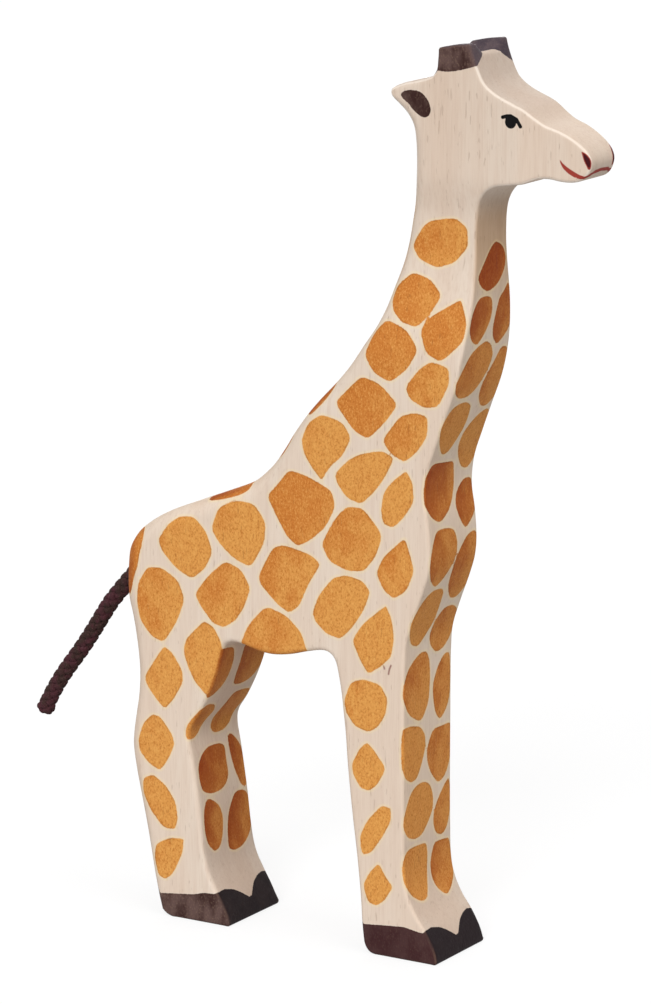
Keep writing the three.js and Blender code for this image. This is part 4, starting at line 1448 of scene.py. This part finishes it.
def glue_material():
    g = Graph(bpy.data.materials.new("cured_glue"))
    cloud = g.noise(*CLOUDS)
    body = g.blend(g.ramp(cloud, 0.35, 0.65), colour("#e9e1c8"), colour("#d9cba6"))
    return g.finish(body, 0.3, cloud, 0.1 * MM)


def dress(obj, material):
    obj.data.materials.clear()
    obj.data.materials.append(material)


dress(figure, wood_material())
cord_look = cord_material()
for tail_piece in tail_pieces:
    dress(tail_piece, cord_look)
dress(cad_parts["tail_glue"], glue_material())


# Floor, world and lamps

WHITE = (1, 1, 1, 1)
FLOOR_REACH = 3
FLOOR_ALBEDO = 0.45
SHOWN_FLOOR_ALBEDO = 0.2
SHOWN_FLOOR_GLOW = 0.8
WORLD_LIGHT_SIDE = 0.08
WORLD_LIGHT_ABOVE = 0.84
# Each lamp's name, strength, softness in degrees and the direction that it shines from
LAMPS = (
    ("key", 2.12, 28, (0.2, -0.8, 0.5)),
    ("fill", 0.68, 40, (0.75, -0.15, 0.64)),
    ("rear", 1.35, 40, (-0.3, 0.93, 0.12)),
)


def seen_directly(g):
    """One for rays from the camera and for those that metal and glass send on."""
    path = g.node("ShaderNodeLightPath").outputs
    seen = path["Is Camera Ray"]
    for name in ("Is Glossy Ray", "Is Transmission Ray"):
        seen = g.math("MAXIMUM", seen, path[name])
    return seen


def make_world():
    g = Graph(bpy.data.worlds.new("studio"))
    direction = g.node("ShaderNodeTexCoord").outputs["Generated"]
    upward = g.node("ShaderNodeSeparateXYZ", Vector=direction).outputs["Z"]
    strength = g.fed("ShaderNodeMapRange", upward, 0, 1, WORLD_LIGHT_SIDE, WORLD_LIGHT_ABOVE)
    light = g.fed("ShaderNodeBackground", WHITE, strength)
    shown = g.fed("ShaderNodeBackground", WHITE, 1)
    sky = g.fed("ShaderNodeMixShader", seen_directly(g), light, shown)
    g.node("ShaderNodeOutputWorld", Surface=sky)
    bpy.context.scene.world = g.owner


def make_floor():
    half = FLOOR_REACH / MM
    corners = [(-half, -half, 0), (half, -half, 0), (half, half, 0), (-half, half, 0)]
    floor = new_mesh_object("studio_floor", corners, [(0, 1, 2, 3)])
    g = Graph(bpy.data.materials.new("studio_floor"))
    lighting, shown = (g.fed("ShaderNodeBsdfDiffuse", (albedo, albedo, albedo, 1))
                       for albedo in (FLOOR_ALBEDO, SHOWN_FLOOR_ALBEDO))
    glow = g.fed("ShaderNodeEmission", WHITE, SHOWN_FLOOR_GLOW)
    pale = g.fed("ShaderNodeAddShader", shown, glow)
    surface = g.fed("ShaderNodeMixShader", seen_directly(g), lighting, pale)
    g.node("ShaderNodeOutputMaterial", Surface=surface)
    dress(floor, g.owner)


def make_sun(name, strength, softness, direction):
    lamp = bpy.data.lights.new(name, "SUN")
    lamp.energy = strength
    lamp.angle = math.radians(softness)
    sun = bpy.data.objects.new(name, lamp)
    sun.rotation_mode = "QUATERNION"
    sun.rotation_quaternion = Vector(direction).to_track_quat("Z", "Y")
    bpy.context.scene.collection.objects.link(sun)


make_world()
make_floor()
for lamp_row in LAMPS:
    make_sun(*lamp_row)
bpy.context.scene.view_settings.view_transform = "Standard"
